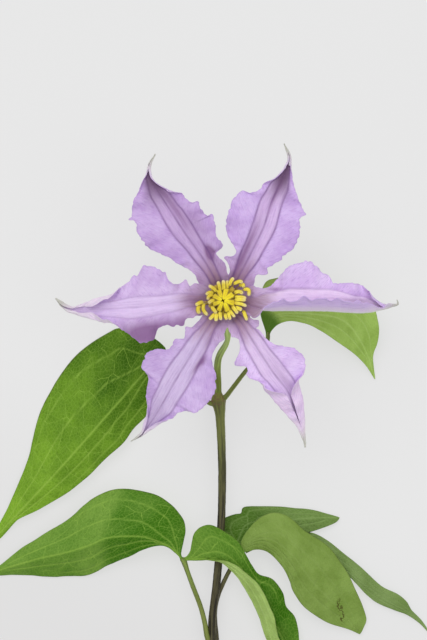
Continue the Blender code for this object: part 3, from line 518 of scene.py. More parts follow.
def smooth_line(knots, count):
    """A smooth curve through the knots (Catmull-Rom), as evenly spaced points."""
    knots = np.array(knots, float)
    padded = np.vstack([knots[:1], knots, knots[-1:]])
    step = np.linspace(0.0, 1.0, FINE_STEPS, endpoint=False)[:, None]
    fine = []
    for k in range(len(knots) - 1):
        a, b, c, d = padded[k:k + 4]
        bend = (2 * a - 5 * b + 4 * c - d) * step ** 2
        twist = (3 * b - a - 3 * c + d) * step ** 3
        fine.append(0.5 * (2 * b + (c - a) * step + bend + twist))
    fine = np.vstack([*fine, knots[-1:]])
    length = np.linalg.norm(np.diff(fine[:, :3], axis=0), axis=1)
    reach = np.concatenate([[0.0], np.cumsum(length)])
    wanted = np.linspace(0.0, reach[-1], count)
    return np.column_stack([np.interp(wanted, reach, column) for column in fine.T])


def smooth_step(value):
    value = np.clip(value, 0.0, 1.0)
    return value * value * (3.0 - 2.0 * value)


def profile(pairs, at):
    """Values at places, eased between sorted (place, value) pairs."""
    places, values = np.array(pairs, float).T
    index = np.clip(np.searchsorted(places, at, side="right") - 1, 0, len(places) - 2)
    share = smooth_step((at - places[index]) / (places[index + 1] - places[index]))
    return values[index] + (values[index + 1] - values[index]) * share


def unit(vectors):
    return vectors / np.maximum(np.linalg.norm(vectors, axis=-1, keepdims=True), 1e-9)


def to_frame(points):
    """Points in the flower's millimetres as points in the frame's metres."""
    return np.asarray(points) * MM + np.array(FLOWER_FOOT)


def make_piece(name, points, faces, material, node=None):
    """A smooth mesh that rides on the root and, if a node is named, stands for that CAD node."""
    mesh = bpy.data.meshes.new(name)
    mesh.from_pydata(to_frame(points).tolist(), [], faces)
    mesh.update()
    mesh.materials.append(material)
    mesh.shade_smooth()
    piece = bpy.data.objects.new(name, mesh)
    bpy.context.scene.collection.objects.link(piece)
    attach(piece, "root")
    if node:
        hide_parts(node)
    return piece


def write_floats(piece, name, values):
    layer = piece.data.attributes.new(name, "FLOAT", "POINT")
    layer.data.foreach_set("value", np.asarray(values, np.float32).ravel())


def write_vectors(piece, name, values):
    layer = piece.data.attributes.new(name, "FLOAT_VECTOR", "POINT")
    layer.data.foreach_set("vector", np.asarray(values, np.float32).ravel())


# ---------------------------------------------------------------- blades

def saw(along, seed):
    """Small uneven teeth, between -1 and 1."""
    return np.array([noise.noise(Vector((value, seed, 0.0))) * 1.6 for value in along])


def half_blade(spine, shape, side, share, strips, base, teeth):
    """One half of a blade, rib by rib.

    Returns the outward directions in plan, the (sideways, upward) offsets of every point, the distance
    from the midrib along the surface, and the surface's angle there.
    """
    ribs = len(spine)
    key = "left" if side == 1 else "right"
    tangent = unit(np.gradient(spine, axis=0))
    beside = unit(np.column_stack([-tangent[:, 1], tangent[:, 0], np.zeros(ribs)])) * side
    number = 0 if side == 1 else 1
    folded = key not in shape
    if folded:
        outward = beside
        width = profile(shape["fold"], share)
        slope = profile(shape["fold_slope"], share)
    else:
        first = spine[0] + beside[0] * base
        last = spine[-1] + beside[-1] * TIP_WIDTH
        margin = smooth_line([first[:2], *shape[key], last[:2]], ribs)
        outward = np.column_stack([margin - spine[:, :2], np.zeros(ribs)])
        width = np.linalg.norm(outward, axis=1)
        width = width * (1.0 + teeth * saw(share * 60.0, number * 7.0 + len(shape[key])))
        outward = unit(outward)
        slope = np.full(ribs, shape["slope"][number])
    bow = shape.get("bow", (0.0, 0.0))[number]
    rolls = shape.get("roll_" + key, ((0.0, 0.0, 0.8), (1.0, 0.0, 0.8)))
    roll = profile([(at, turn) for at, turn, start in rolls], share)[:, None]
    start = profile([(at, start) for at, turn, start in rolls], share)[:, None]
    middle = ((np.arange(strips) + 0.5) / strips)[None, :]
    softness = np.minimum(0.16, 1.0 - start)
    angle = np.radians(slope[:, None] + bow * middle + roll * smooth_step((middle - start) / softness))
    aside = np.cumsum(np.cos(angle), axis=1) / strips
    rise = np.cumsum(np.sin(angle), axis=1) / strips
    reach = np.ones((ribs, 1)) if folded else aside.max(axis=1, keepdims=True)
    scale = width[:, None] / reach
    span = ((np.arange(strips) + 1.0) / strips)[None, :] * scale
    return outward, aside * scale, rise * scale, span, angle


def ruffle(length, share, across, height, waves, seed):
    """Waves that grow towards the margin."""
    chance = random.Random(seed)
    total = np.zeros((len(share), across.shape[-1]))
    along = share[:, None] * length
    for wavelength, size in waves:
        phase = chance.uniform(0.0, 6.28)
        drift = chance.uniform(0.5, 1.2)
        slow = 0.65 + 0.35 * np.sin(along * 2 * np.pi / (wavelength * 3.7) + chance.uniform(0.0, 6.28))
        total += size * slow * np.sin(along * 2 * np.pi / wavelength + phase + drift * across)
    ends = smooth_step(share / 0.18) * smooth_step((1.0 - share) / 0.2)
    return height * total * across ** 2.6 * ends[:, None]


def crinkle(points, size, scale, seed):
    """Small uneven bumps over a surface, in mm."""
    shift = Vector((seed * 3.1, seed * 1.7, seed * 0.9))
    flat = points.reshape(-1, 3)
    values = [noise.noise(Vector(point) / scale + shift) for point in flat]
    return size * np.array(values).reshape(points.shape[:-1])


def blade_grid(shape, ribs, strips, base, teeth, waves, wave_height, seed):
    """The middle surface of a sepal or leaf, with what the material needs to know at each point."""
    share = np.linspace(0.0, 1.0, ribs)
    spine = smooth_line(shape["midrib"], ribs)
    length = np.linalg.norm(np.diff(spine, axis=0), axis=1).sum()
    across = ((np.arange(strips) + 1.0) / strips)[None, :]
    sides = []
    for side in (1, -1):
        outward, aside, rise, span, angle = half_blade(spine, shape, side, share, strips, base, teeth)
        wave = ruffle(length, share, across, wave_height, waves, seed * 2 + side)
        aside = aside - np.sin(angle) * wave
        rise = rise + np.cos(angle) * wave
        points = spine[:, None, :] + outward[:, None, :] * aside[..., None]
        points[..., 2] += rise
        edge = np.broadcast_to(across, span.shape)
        sides.append((points, span, edge))
    (left, left_span, left_edge), (right, right_span, right_edge) = sides
    points = np.concatenate([left[:, ::-1], spine[:, None, :], right], axis=1)
    none = np.zeros((ribs, 1))
    span = np.concatenate([-left_span[:, ::-1], none, right_span], axis=1)
    edge = np.concatenate([left_edge[:, ::-1], none, right_edge], axis=1)
    return points, span, edge, np.broadcast_to(share[:, None], span.shape), length


def surface_normals(points):
    along = np.gradient(points, axis=0)
    across = np.gradient(points, axis=1)
    return unit(np.cross(across, along))


def skin_faces(ribs, width):
    """Faces of two skins over a grid and of the rim between them."""
    under = ribs * width
    here = (np.arange(ribs - 1)[:, None] * width + np.arange(width - 1)[None, :]).ravel()
    top = np.column_stack([here, here + 1, here + width + 1, here + width])
    bottom = np.column_stack([here, here + width, here + width + 1, here + 1]) + under
    border = np.concatenate([
        np.arange(width),
        np.arange(1, ribs) * width + width - 1,
        (ribs - 1) * width + np.arange(width - 2, -1, -1),
        np.arange(ribs - 2, 0, -1) * width,
    ])
    beyond = np.roll(border, -1)
    rim = np.column_stack([border, under + border, under + beyond, beyond])
    return np.vstack([top, bottom, rim]).tolist()


def make_blade(node, grid, marks, tint_name, tint, relief, material, upper_up=True):
    """A closed thin sheet that stands for a CAD node.

    Its materials read, at each point, the place on the blade, two marks and the edge, one named tint and
    which of the two skins it is.
    """
    points, span, edge, share, length = grid
    ribs, width = span.shape
    normals = surface_normals(points)
    taper = (1.0 - 0.55 * edge ** 3) * (1.0 - 0.5 * smooth_step((share - 0.85) / 0.15))
    half = (BLADE_THICKNESS * taper / 2)[..., None]
    top = points + normals * (half + relief[..., None])
    bottom = points - normals * (half - relief[..., None])
    lift = np.maximum(LOWEST - np.minimum(top[..., 2], bottom[..., 2]), 0.0)
    top[..., 2] += lift
    bottom[..., 2] += lift
    both = np.vstack([top.reshape(-1, 3), bottom.reshape(-1, 3)])
    piece = make_piece("fine_" + node, both, skin_faces(ribs, width), material, node)
    place = np.stack([span, share * length, share], axis=-1).reshape(-1, 3)
    marks = np.stack([*marks, edge], axis=-1).reshape(-1, 3)
    upper = np.full(ribs * width, 1.0 if upper_up else 0.0)
    write_vectors(piece, "place", np.vstack([place, place]))
    write_vectors(piece, "marks", np.vstack([marks, marks]))
    write_floats(piece, "upper", np.concatenate([upper, 1.0 - upper]))
    write_floats(piece, tint_name, np.concatenate([tint.ravel(), tint.ravel()]))


def make_sepal(name, shape, seed, material):
    waves = ((9.0, 0.45), (5.2, 0.4), (3.1, 0.2))
    grid = blade_grid(shape, SEPAL_RIBS, SEPAL_STRIPS, SEPAL_BASE, SEPAL_TEETH, waves, 1.5, seed)
    points, span, edge, share, length = grid
    offset = profile(shape["veins"], share)
    ending = smooth_step((1.0 - share) / 0.12)
    line = 0.38 - 0.1 * smooth_step(share / 0.7)
    middle_vein = np.exp(-(span / line) ** 2)
    side_veins = np.exp(-((np.abs(span) - offset) / line) ** 2) * smooth_step(offset / 0.8)
    vein = np.maximum(0.85 * middle_vein, side_veins) * (0.35 + 0.65 * ending)
    bar = smooth_step((offset + 0.25 - np.abs(span)) / 0.7)
    # Dark spots, as (share of the length, mm aside from the midrib, length, width, amount): painted shade in
    # folds, creases and hollows, and in places the sepal's own darker mauve
    shade = np.zeros(span.shape)
    for along, aside, long, wide, amount in shape["shade"]:
        shade += amount * np.exp(-((share - along) / long) ** 2 - ((span - aside) / wide) ** 2)
    valley = np.exp(-np.abs(span) / 0.9) + np.exp(-np.abs(np.abs(span) - offset) / 0.7)
    relief = -0.22 * valley * smooth_step(share / 0.06) * ending
    relief = relief + crinkle(points, 0.16, 2.3, seed) * edge + crinkle(points, 0.07, 0.9, seed + 5)
    make_blade(name, grid, (vein, bar), "shade", shade, relief, material)


def make_leaf(name, shape, seed, material):
    waves = ((16.0, 0.5), (9.0, 0.25))
    grid = blade_grid(shape, LEAF_RIBS, LEAF_STRIPS, LEAF_BASE, 0.0, waves, 0.55, seed)
    points, span, edge, share, length = grid
    wide = np.abs(span) / np.maximum(edge, 1e-6)
    fade = smooth_step((1.0 - share) / 0.1)
    vein = np.exp(-(span / 0.26) ** 2)
    for line, size, ending in LEAF_VEINS:
        distance = (edge - profile(line, share)) * np.where(edge > 0, wide, 10.0)
        alive = smooth_step((ending - share) / 0.15)
        vein = np.maximum(vein, size * np.exp(-(distance / 0.22) ** 2) * fade * alive)
    groove = -0.16 * vein
    relief = groove + crinkle(points, 0.15, 4.5, seed) + crinkle(points, 0.07, 1.7, seed + 7)
    plump = smooth_step(edge / 0.3) * smooth_step((1.0 - edge) / 0.3)
    # Painted light and shade: the profile mixes the leaf's own green with painted highlights and shade, and
    # the side tone makes one half lighter than the other
    tone_and_painted_light = profile(shape["tone_and_painted_light"], share) + shape.get("painted_side_light", 0.0) * np.clip(span / 6.0, -1.0, 1.0) / 2
    tone_and_painted_light = np.clip(tone_and_painted_light + crinkle(points, 0.22, 9.0, seed + 3), 0.0, 1.0)
    up = shape["up"] == "upper"
    make_blade(name, grid, (vein, plump), "tone_and_painted_light", tone_and_painted_light, relief, material, up)


# ---------------------------------------------------------------- round pieces

def ring_faces(count, sides):
    """Faces of a row of rings, closed by a flat face at each end."""
    first = np.arange(count - 1)[:, None] * sides
    around = np.arange(sides)[None, :]
    here = (first + around).ravel()
    beyond = (first + (around + 1) % sides).ravel()
    faces = np.column_stack([here, beyond, beyond + sides, here + sides]).tolist()
    faces.append(list(range(sides))[::-1])
    faces.append([(count - 1) * sides + side for side in range(sides)])
    return faces


def write_ring_places(piece, around, *along):
    """Writes the attribute "place": one part runs around each ring and two along the row of rings."""
    parts = np.broadcast_arrays(around[None, :], *[values[:, None] for values in along])
    write_vectors(piece, "place", np.stack(parts, axis=-1).reshape(-1, 3))


def make_tube(name, node, knots, count, sides, material, ridges, ridge_depth, uneven, seed):
    """A closed tube along (x, y, z, radius) knots, with lengthwise ridges and an uneven skin."""
    line = smooth_line(knots, count)
    centre = line[:, :3]
    along = unit(np.gradient(centre, axis=0))
    across = np.zeros((count, 3))
    across[0] = Vector(along[0]).orthogonal().normalized()
    for k in range(1, count):
        turned = across[k - 1] - along[k] * across[k - 1].dot(along[k])
        across[k] = turned / np.linalg.norm(turned)
    beside = np.cross(along, across)
    turn = np.linspace(0.0, 2 * np.pi, sides, endpoint=False)
    radius = line[:, 3:4] * (1.0 + ridge_depth * np.cos(ridges * turn)[None, :])
    rings = centre[:, None, :] + radius[..., None] * (
        across[:, None, :] * np.cos(turn)[None, :, None] + beside[:, None, :] * np.sin(turn)[None, :, None]
    )
    away = unit(rings - centre[:, None, :])
    rings = rings + away * crinkle(rings, uneven, 1.1, seed)[..., None]
    rings[..., 2] = np.maximum(rings[..., 2], LOWEST)
    piece = make_piece(name, rings.reshape(-1, 3), ring_faces(count, sides), material, node)
    reach = np.concatenate([[0.0], np.cumsum(np.linalg.norm(np.diff(centre, axis=0), axis=1))])
    write_ring_places(piece, turn, reach, reach / reach[-1])


def make_stamen(number, knots, width, taper, material):
    """A thin filament that widens at its third knot into a flattened anther with a groove and a blunt tip.

    The first ones stand for the CAD's stamens, and the rest only fill the tuft.
    """
    chords = [math.dist(a, b) for a, b in zip(knots, knots[1:])]
    starts = (chords[0] + chords[1] - 0.45) / sum(chords)
    line = smooth_line(knots, STAMEN_RIBS)
    share = np.linspace(0.0, 1.0, STAMEN_RIBS)
    along = unit(np.gradient(line, axis=0))
    across = unit(np.cross(along, np.array([0.0, 0.0, 1.0])))
    lift = np.cross(across, along)
    inside = np.clip((share - starts) / (1.0 - starts), 0.0, 1.0)
    blunt = np.sqrt(np.clip(1.0 - np.clip((inside - 0.72) / 0.285, 0.0, 1.0) ** 2.4, 0.0, 1.0))
    body = smooth_step(inside / 0.22) * blunt * (1.0 - taper * inside)
    half_width = 0.2 * np.minimum(1.0, blunt + 0.1) + (width / 2 - 0.2) * body
    half_height = 0.15 * np.minimum(1.0, blunt + 0.1) + 0.27 * body
    turn = np.linspace(0.0, 2 * np.pi, STAMEN_SIDES, endpoint=False)
    groove = 1.0 - 0.2 * body[:, None] * np.exp(-((turn - np.pi / 2) / 0.42) ** 2)[None, :]
    rings = line[:, None, :] + (
        across[:, None, :] * (half_width[:, None] * np.cos(turn)[None, :])[..., None]
        + lift[:, None, :] * (half_height[:, None] * np.sin(turn)[None, :] * groove)[..., None]
    )
    facing = math.cos(math.atan2(knots[2][1] - knots[0][1], knots[2][0] - knots[0][0]) + 0.5)
    bumps = crinkle(rings, 0.07, 0.55, number) * body[:, None]
    rings = rings + unit(rings - line[:, None, :]) * bumps[..., None]
    faces = ring_faces(STAMEN_RIBS, STAMEN_SIDES)
    name = f"stamen_{number:02d}"
    known = name if number <= len(INNER_ANTHERS) + len(OUTER_ANTHERS) else None
    piece = make_piece("fine_" + name, rings.reshape(-1, 3), faces, material, known)
    write_ring_places(piece, turn, share, inside)
    write_floats(piece, "shade", np.full(STAMEN_RIBS * STAMEN_SIDES, 0.5 - 0.5 * facing))


def towards(spot, away):
    """The point at a distance from the tuft's centre in the direction of a spot."""
    heading = Vector((spot[0] - TUFT_CENTRE[0], spot[1] - TUFT_CENTRE[1])).normalized()
    return TUFT_CENTRE[0] + heading.x * away, TUFT_CENTRE[1] + heading.y * away


def make_stamens(material, inner_material, shaded_material):
    chance = random.Random(11)
    number = 0
    for outside, tip, width in INNER_ANTHERS:
        number += 1
        foot = towards(outside, 1.25)
        knee = towards(outside, 2.2)
        middle = ((outside[0] + tip[0]) / 2, (outside[1] + tip[1]) / 2)
        lift = chance.uniform(-0.25, 0.25)
        knots = (
            (*foot, 27.4), (*knee, 29.4), (*outside, 31.2 + lift), (*middle, 32.8 + lift), (*tip, 33.3 + lift)
        )
        make_stamen(number, knots, width, 0.42, inner_material)
    for joint, middle, tip in OUTER_ANTHERS:
        number += 1
        foot = towards(joint, 1.55)
        away = math.hypot(joint[0] - TUFT_CENTRE[0], joint[1] - TUFT_CENTRE[1])
        knee = towards(joint, 1.55 + (away - 1.55) * 0.55)
        lift = chance.uniform(-0.3, 0.4) - 0.22 * max(away - 3.4, 0.0)
        knots = (
            (*foot, 27.2), (*knee, 29.6 + lift), (*joint, 31.0 + lift), (*middle, 31.5 + lift),
            (*tip, 31.1 + lift),
        )
        make_stamen(number, knots, chance.uniform(1.15, 1.35), 0.0, material)
    for k in range(LOW_STAMENS):
        number += 1
        turn = 2 * math.pi * (k + chance.uniform(0.2, 0.8)) / LOW_STAMENS
        away = chance.uniform(3.8, 4.9)
        spots = []
        for reach, height in ((1.5, 27.3), (1.9, 28.6), (2.1, 29.6), (away * 0.8, 30.2), (away, 29.9)):
            spots.append((
                TUFT_CENTRE[0] + reach * math.cos(turn), TUFT_CENTRE[1] + reach * math.sin(turn),
                height + chance.uniform(-0.2, 0.2),
            ))
        make_stamen(number, spots, chance.uniform(1.1, 1.35), 0.0, shaded_material)


# ---------------------------------------------------------------- materials

class Shader:
    """One material in the making.

    Most methods add a node and return its output. A colour is an sRGB triple or another node's output, and
    "tint" mixes one into the colour that the material has so far.
    """

    def __init__(self, name, **sockets):
        self.material = bpy.data.materials.new(name)
        self.material.use_nodes = True
        self.tree = self.material.node_tree
        self.main = self.tree.nodes["Principled BSDF"]
        self.colour = None
        self.feed(self.main, {key.replace("_", " "): value for key, value in sockets.items()})

    def feed(self, node, inputs):
        """Sets a node's inputs to plain values, or links them to other nodes' outputs."""
        for key, value in inputs.items():
            if isinstance(value, bpy.types.NodeSocket):
                self.tree.links.new(value, node.inputs[key])
            else:
                node.inputs[key].default_value = value

    def node(self, kind, output, inputs, **settings):
        made = self.tree.nodes.new(kind)
        for key, value in settings.items():
            setattr(made, key, value)
        self.feed(made, inputs)
        return made.outputs[output]

    def attribute(self, name, output="Fac"):
        return self.node("ShaderNodeAttribute", output, {}, attribute_name=name)

    def parts(self, vector):
        split = self.node("ShaderNodeSeparateXYZ", 0, {0: vector}).node
        return list(split.outputs)

    def math(self, operation, first, second=0.0, clamp=False):
        return self.node("ShaderNodeMath", 0, {0: first, 1: second}, operation=operation, use_clamp=clamp)

    def times(self, first, second):
        return self.math("MULTIPLY", first, second)

    def plus(self, first, second):
        return self.math("ADD", first, second)

    def minus(self, first, second):
        return self.math("SUBTRACT", first, second)

    def between(self, value, low, high, low_out=0.0, high_out=1.0):
        """The value's place between low and high, eased and clamped, as a number from low_out to high_out."""
        inputs = {"Value": value, "From Min": low, "From Max": high, "To Min": low_out, "To Max": high_out}
        return self.node("ShaderNodeMapRange", "Result", inputs, interpolation_type="SMOOTHSTEP")

    def mix(self, amount, first, second):
        first, second = (srgb(*colour) if isinstance(colour, tuple) else colour for colour in (first, second))
        inputs = {"Factor": amount, "A": first, "B": second}
        return self.node("ShaderNodeMix", "Result", inputs, data_type="RGBA")

    def tint(self, amount, colour):
        self.colour = self.mix(amount, self.colour, colour)

    def stretched(self, vector, scale):
        return self.node("ShaderNodeMapping", "Vector", {"Vector": vector, "Scale": scale})

    def noise(self, vector, scale, detail=3.0, roughness=0.55):
        inputs = {"Vector": vector, "Scale": scale, "Detail": detail, "Roughness": roughness}
        return self.node("ShaderNodeTexNoise", "Fac", inputs)

    def cells(self, vector, scale, warp):
        """Distance to the walls of irregular cells, for a net of veins."""
        shift = self.node("ShaderNodeTexNoise", "Color", {"Vector": vector, "Scale": scale * 0.9})
        inputs = {0: shift, 1: (warp, warp, 0.0), 2: vector}
        moved = self.node("ShaderNodeVectorMath", 0, inputs, operation="MULTIPLY_ADD")
        kind = {"feature": "DISTANCE_TO_EDGE", "voronoi_dimensions": "2D"}
        return self.node("ShaderNodeTexVoronoi", "Distance", {"Vector": moved, "Scale": scale}, **kind)

    def bump(self, height, distance, strength, **below):
        inputs = {"Height": height, "Distance": distance, "Strength": strength, **below}
        return self.node("ShaderNodeBump", "Normal", inputs)

    def finish(self, **sockets):
        self.feed(self.main, {"Base Color": self.colour, **sockets})
        return self.material


def sepal_material(name, bar_colour, bar_amount, blade_colour, back_colour, vein_strength, hood_shade_strength):
    """Lilac tissue: a bar with three dark veins, fine side veins, a paler back and greenish tails."""
    s = Shader(
        name, Sheen_Weight=0.12, Sheen_Roughness=0.5, Subsurface_Weight=0.1,
        Subsurface_Radius=(0.002, 0.0014, 0.0016), Specular_IOR_Level=0.25,
    )
    place = s.attribute("place", "Vector")
    across, reach, share = s.parts(place)
    span = s.math("ABSOLUTE", across)
    vein, bar, edge = s.parts(s.attribute("marks", "Vector"))
    cloud = s.noise(place, 0.17)
    deeper = shifted(blade_colour, -0.06, -0.08, -0.05)
    s.colour = s.mix(s.between(cloud, 0.36, 0.66), blade_colour, deeper)
    streak = s.noise(s.stretched(place, (2.2, 0.2, 1.0)), 1.0, 4.0, 0.6)
    # Side veins leave the bar at a slant and run out to the margin
    slant_across = s.minus(s.times(span, 0.72), s.times(reach, 0.7))
    slant_along = s.plus(s.times(span, 0.7), s.times(reach, 0.72))
    slanted = s.node("ShaderNodeCombineXYZ", 0, {0: slant_across, 1: s.times(slant_along, 0.16)})
    side_vein = s.noise(slanted, 3.0, 4.0, 0.6)
    on_blade = s.minus(1.0, bar)
    side_amount = s.times(s.between(side_vein, 0.5, 0.7, 0.0, 0.42), on_blade)
    s.tint(side_amount, (0.63, 0.47, 0.76))
    s.tint(s.times(s.between(side_vein, 0.46, 0.3, 0.0, 0.3), on_blade), (0.9, 0.82, 0.97))
    bar_streak = s.between(streak, 0.42, 0.7, 0.0, 0.35 + 0.6 * vein_strength)
    s.tint(s.times(bar, bar_amount), s.mix(bar_streak, bar_colour, shifted(bar_colour, -0.13, -0.15, -0.11)))
    base = s.between(s.plus(share, s.between(streak, 0.3, 0.7, -0.03, 0.03)), 0.1, 0.3, 1.0, 0.0)
    s.tint(s.times(base, s.plus(s.times(bar, 0.45), 0.42)), (0.62, 0.48, 0.56))
    # Painted shade in folds, creases and hollows, partly the sepal's own darker mauve
    s.tint(s.math("MINIMUM", s.attribute("shade"), 0.9), (0.52, 0.36, 0.55))
    s.tint(s.times(vein, s.between(cloud, 0.3, 0.7, vein_strength, vein_strength * 0.6)), (0.44, 0.29, 0.52))
    s.tint(s.between(edge, 0.94, 1.0, 0.0, 0.25), (0.62, 0.46, 0.76))
    # Painted shade in the hollow of the rolled-in tip: darker away from the margins on the outer part of the
    # sepal
    inside = s.between(edge, 0.85, 0.25, 0.0, 0.7 * hood_shade_strength)
    s.tint(s.math("MINIMUM", s.times(s.between(share, 0.58, 0.84), inside), 0.85), (0.38, 0.27, 0.39))
    back = s.mix(s.between(streak, 0.45, 0.75), back_colour, shifted(back_colour, -0.08, -0.1, -0.05))
    back = s.mix(s.times(side_amount, 0.7), back, (0.63, 0.5, 0.76))
    back = s.mix(s.between(span, 4.0, 0.6, 0.0, 0.7), back, (0.89, 0.85, 0.89))
    back = s.mix(s.between(span, 0.7, 0.3, 0.0, 0.7), back, (0.85, 0.87, 0.8))
    s.colour = s.mix(s.attribute("upper"), back, s.colour)
    s.tint(s.between(share, 0.88, 0.98), (0.76, 0.76, 0.72))
    grain = s.noise(place, 3.4, 5.0, 0.65)
    s.tint(s.between(grain, 0.5, 0.75, 0.0, 0.16), (0.56, 0.42, 0.66))
    normal = s.bump(streak, 0.00014, 0.4)
    normal = s.bump(side_vein, 0.00016, 0.7, Normal=normal)
    normal = s.bump(grain, 0.00005, 0.6, Normal=normal)
    return s.finish(Normal=normal, Roughness=s.between(grain, 0.3, 0.7, 0.6, 0.76))


def scar_mask(s, place, along, slant, half_width, half_length):
    """Where a small wandering scar lies: it crosses the midrib at "along" mm from the base."""
    across, reach, _ = s.parts(place)
    beyond = s.minus(reach, along)
    wander = s.between(s.noise(place, 0.8, 2.0), 0.35, 0.65, -0.8, 0.8)
    aside = s.math("ABSOLUTE", s.minus(across, s.plus(s.times(beyond, slant), wander)))
    inside = s.between(s.math("ABSOLUTE", beyond), half_length, 0.6 * half_length, 0.0, 0.85)
    return s.times(inside, s.between(aside, half_width, 0.3 * half_width))


def leaf_material(name, look):
    """Leaf tissue: a green upper side and a paler back, with a net of light veins on both."""
    s = Shader(
        name, Subsurface_Weight=0.04, Subsurface_Radius=(0.0012, 0.002, 0.0006), Specular_IOR_Level=0.1
    )
    place = s.attribute("place", "Vector")
    vein, plump, edge = s.parts(s.attribute("marks", "Vector"))
    upper = s.attribute("upper")
    tone_and_painted_light = s.attribute("tone_and_painted_light")
    deep = look["deep"]
    cloud = s.noise(place, 0.12)
    # Painted light and shade with the leaf's own green: the blend from deep to light green follows the tone,
    # with a random cloud on top
    fresh = s.math("ADD", tone_and_painted_light, s.between(cloud, 0.3, 0.7, -0.16, 0.16), clamp=True)
    s.colour = s.mix(fresh, deep, look["light"])
    mottle = s.noise(place, 1.4, 5.0, 0.7)
    s.tint(s.between(mottle, 0.44, 0.74, 0.0, 0.4), (deep[0] * 0.78, deep[1] * 0.84, deep[2] * 0.6))
    wide_net = s.cells(s.stretched(place, (0.85, 1.0, 1.0)), 0.19, 2.6)
    fine_net = s.cells(place, 1.0, 0.6)
    wide_line = s.between(wide_net, 0.0, 0.026, 1.0, 0.0)
    fine_line = s.between(fine_net, 0.0, 0.12, 1.0, 0.0)
    patchy = s.between(s.noise(place, 0.35, 2.0), 0.4, 0.62, 0.2, 1.0)
    # A multiply-add adds 0.5, its third input as it comes
    wide_shown = s.times(s.times(wide_line, patchy), s.math("MULTIPLY_ADD", plump, 0.4))
    for line, amount in ((fine_line, 0.26), (wide_shown, 0.7), (vein, 0.62)):
        s.tint(s.times(line, amount), look["vein"])
    pale = look["back"]
    paler = shifted(pale, 0.045, 0.045, 0.045)
    back = s.mix(s.between(cloud, 0.35, 0.7), paler, shifted(pale, -0.03, -0.03, -0.03))
    back = s.mix(s.between(mottle, 0.45, 0.75, 0.0, 0.2), back, shifted(pale, -0.1, -0.09, -0.1))
    back = s.mix(s.times(wide_shown, 0.2), back, paler)
    back = s.mix(s.times(vein, look["back_veins"]), back, shifted(pale, 0.1, 0.09, 0.12))
    back = s.mix(s.between(tone_and_painted_light, 0.5, 0.1, 0.0, look.get("back_base", 0.0)), back, deep)
    s.colour = s.mix(upper, back, s.colour)
    if "scar" in look:
        s.tint(scar_mask(s, place, *look["scar"]), (0.28, 0.27, 0.1))
    s.tint(s.between(edge, 0.965, 1.0, 0.0, 0.4), (0.36, 0.38, 0.2))
    normal = s.bump(s.between(wide_net, 0.0, 0.35), 0.0004, 0.45)
    normal = s.bump(s.between(fine_net, 0.0, 0.4), 0.00012, 0.5, Normal=normal)
    normal = s.bump(mottle, 0.00006, 0.6, Normal=normal)
    back_rough = s.between(upper, 0.0, 1.0, 0.66, 0.5)
    return s.finish(Normal=normal, Roughness=s.plus(back_rough, s.between(mottle, 0.3, 0.7, -0.06, 0.08)))


def stem_material(name, main_colour, streak_colour, end_colour, ends, roughness, rust=0.0):
    """Fibrous stem skin: lengthwise streaks, freckles and a change of colour along it."""
    s = Shader(name, Roughness=roughness, Specular_IOR_Level=0.22)
    place = s.attribute("place", "Vector")
    share = s.parts(place)[2]
    streak = s.noise(s.stretched(place, (1.2, 0.06, 1.0)), 1.0, 5.0, 0.65)
    freckle = s.noise(place, 1.9, 3.0, 0.6)
    low = s.mix(s.between(streak, 0.4, 0.6, 0.0, 0.9), main_colour, streak_colour)
    dim = (end_colour[0] * 0.66, end_colour[1] * 0.64, end_colour[2] * 0.72)
    high = s.mix(s.between(streak, 0.4, 0.6, 0.9, 0.0), end_colour, dim)
    s.colour = s.mix(s.between(share, ends[0], ends[1]), low, high)
    s.tint(s.between(share, 0.95, 0.98, 0.0, 0.6 * rust), (0.56, 0.56, 0.26))
    rusty = s.times(s.between(freckle, 0.5, 0.58, 0.0, 0.75), s.between(share, 0.93, 0.97, 0.0, rust))
    s.tint(rusty, (0.48, 0.36, 0.28))
    s.tint(s.between(freckle, 0.62, 0.78, 0.0, 0.4), (0.24, 0.18, 0.13))
    return s.finish(Normal=s.bump(freckle, 0.00006, 0.5, Normal=s.bump(streak, 0.0003, 0.9)))


def anther_material(name, body_colour, tip_colour, filament_colour):
    """Pollen-dusted anthers on smooth pale filaments."""
    s = Shader(
        name, Roughness=0.75, Sheen_Weight=0.2, Subsurface_Weight=0.1,
        Subsurface_Radius=(0.001, 0.0009, 0.0003),
    )
    around, _, share = s.parts(s.attribute("place", "Vector"))
    where = s.node("ShaderNodeTexCoord", "Object", {})
    dust = s.noise(where, 4200.0, 4.0, 0.7)
    cloud = s.noise(where, 700.0, 2.0)
    s.colour = s.mix(s.between(share, 0.0, 0.14), filament_colour, body_colour)
    s.tint(s.between(s.attribute("shade"), 0.2, 1.0, 0.0, 0.5), (0.76, 0.66, 0.06))
    s.tint(s.between(share, 0.55, 1.0, 0.0, 0.85), tip_colour)
    s.tint(s.between(cloud, 0.4, 0.7, 0.0, 0.35), (0.8, 0.66, 0.06))
    # Painted shade on each anther's sides, where it meets its neighbours
    flank_shade = s.math("ABSOLUTE", s.math("COSINE", around))
    s.tint(s.between(flank_shade, 0.5, 0.96, 0.0, 0.85), (0.54, 0.42, 0.03))
    # Painted shade in the groove along each anther's top
    groove = s.math("ABSOLUTE", s.minus(around, math.pi / 2))
    s.tint(s.between(groove, 0.4, 0.0, 0.0, 0.25), (0.72, 0.58, 0.06))
    s.tint(s.between(dust, 0.56, 0.7, 0.0, 0.4), (0.98, 0.93, 0.52))
    return s.finish(Normal=s.bump(dust, 0.00012, 0.9))


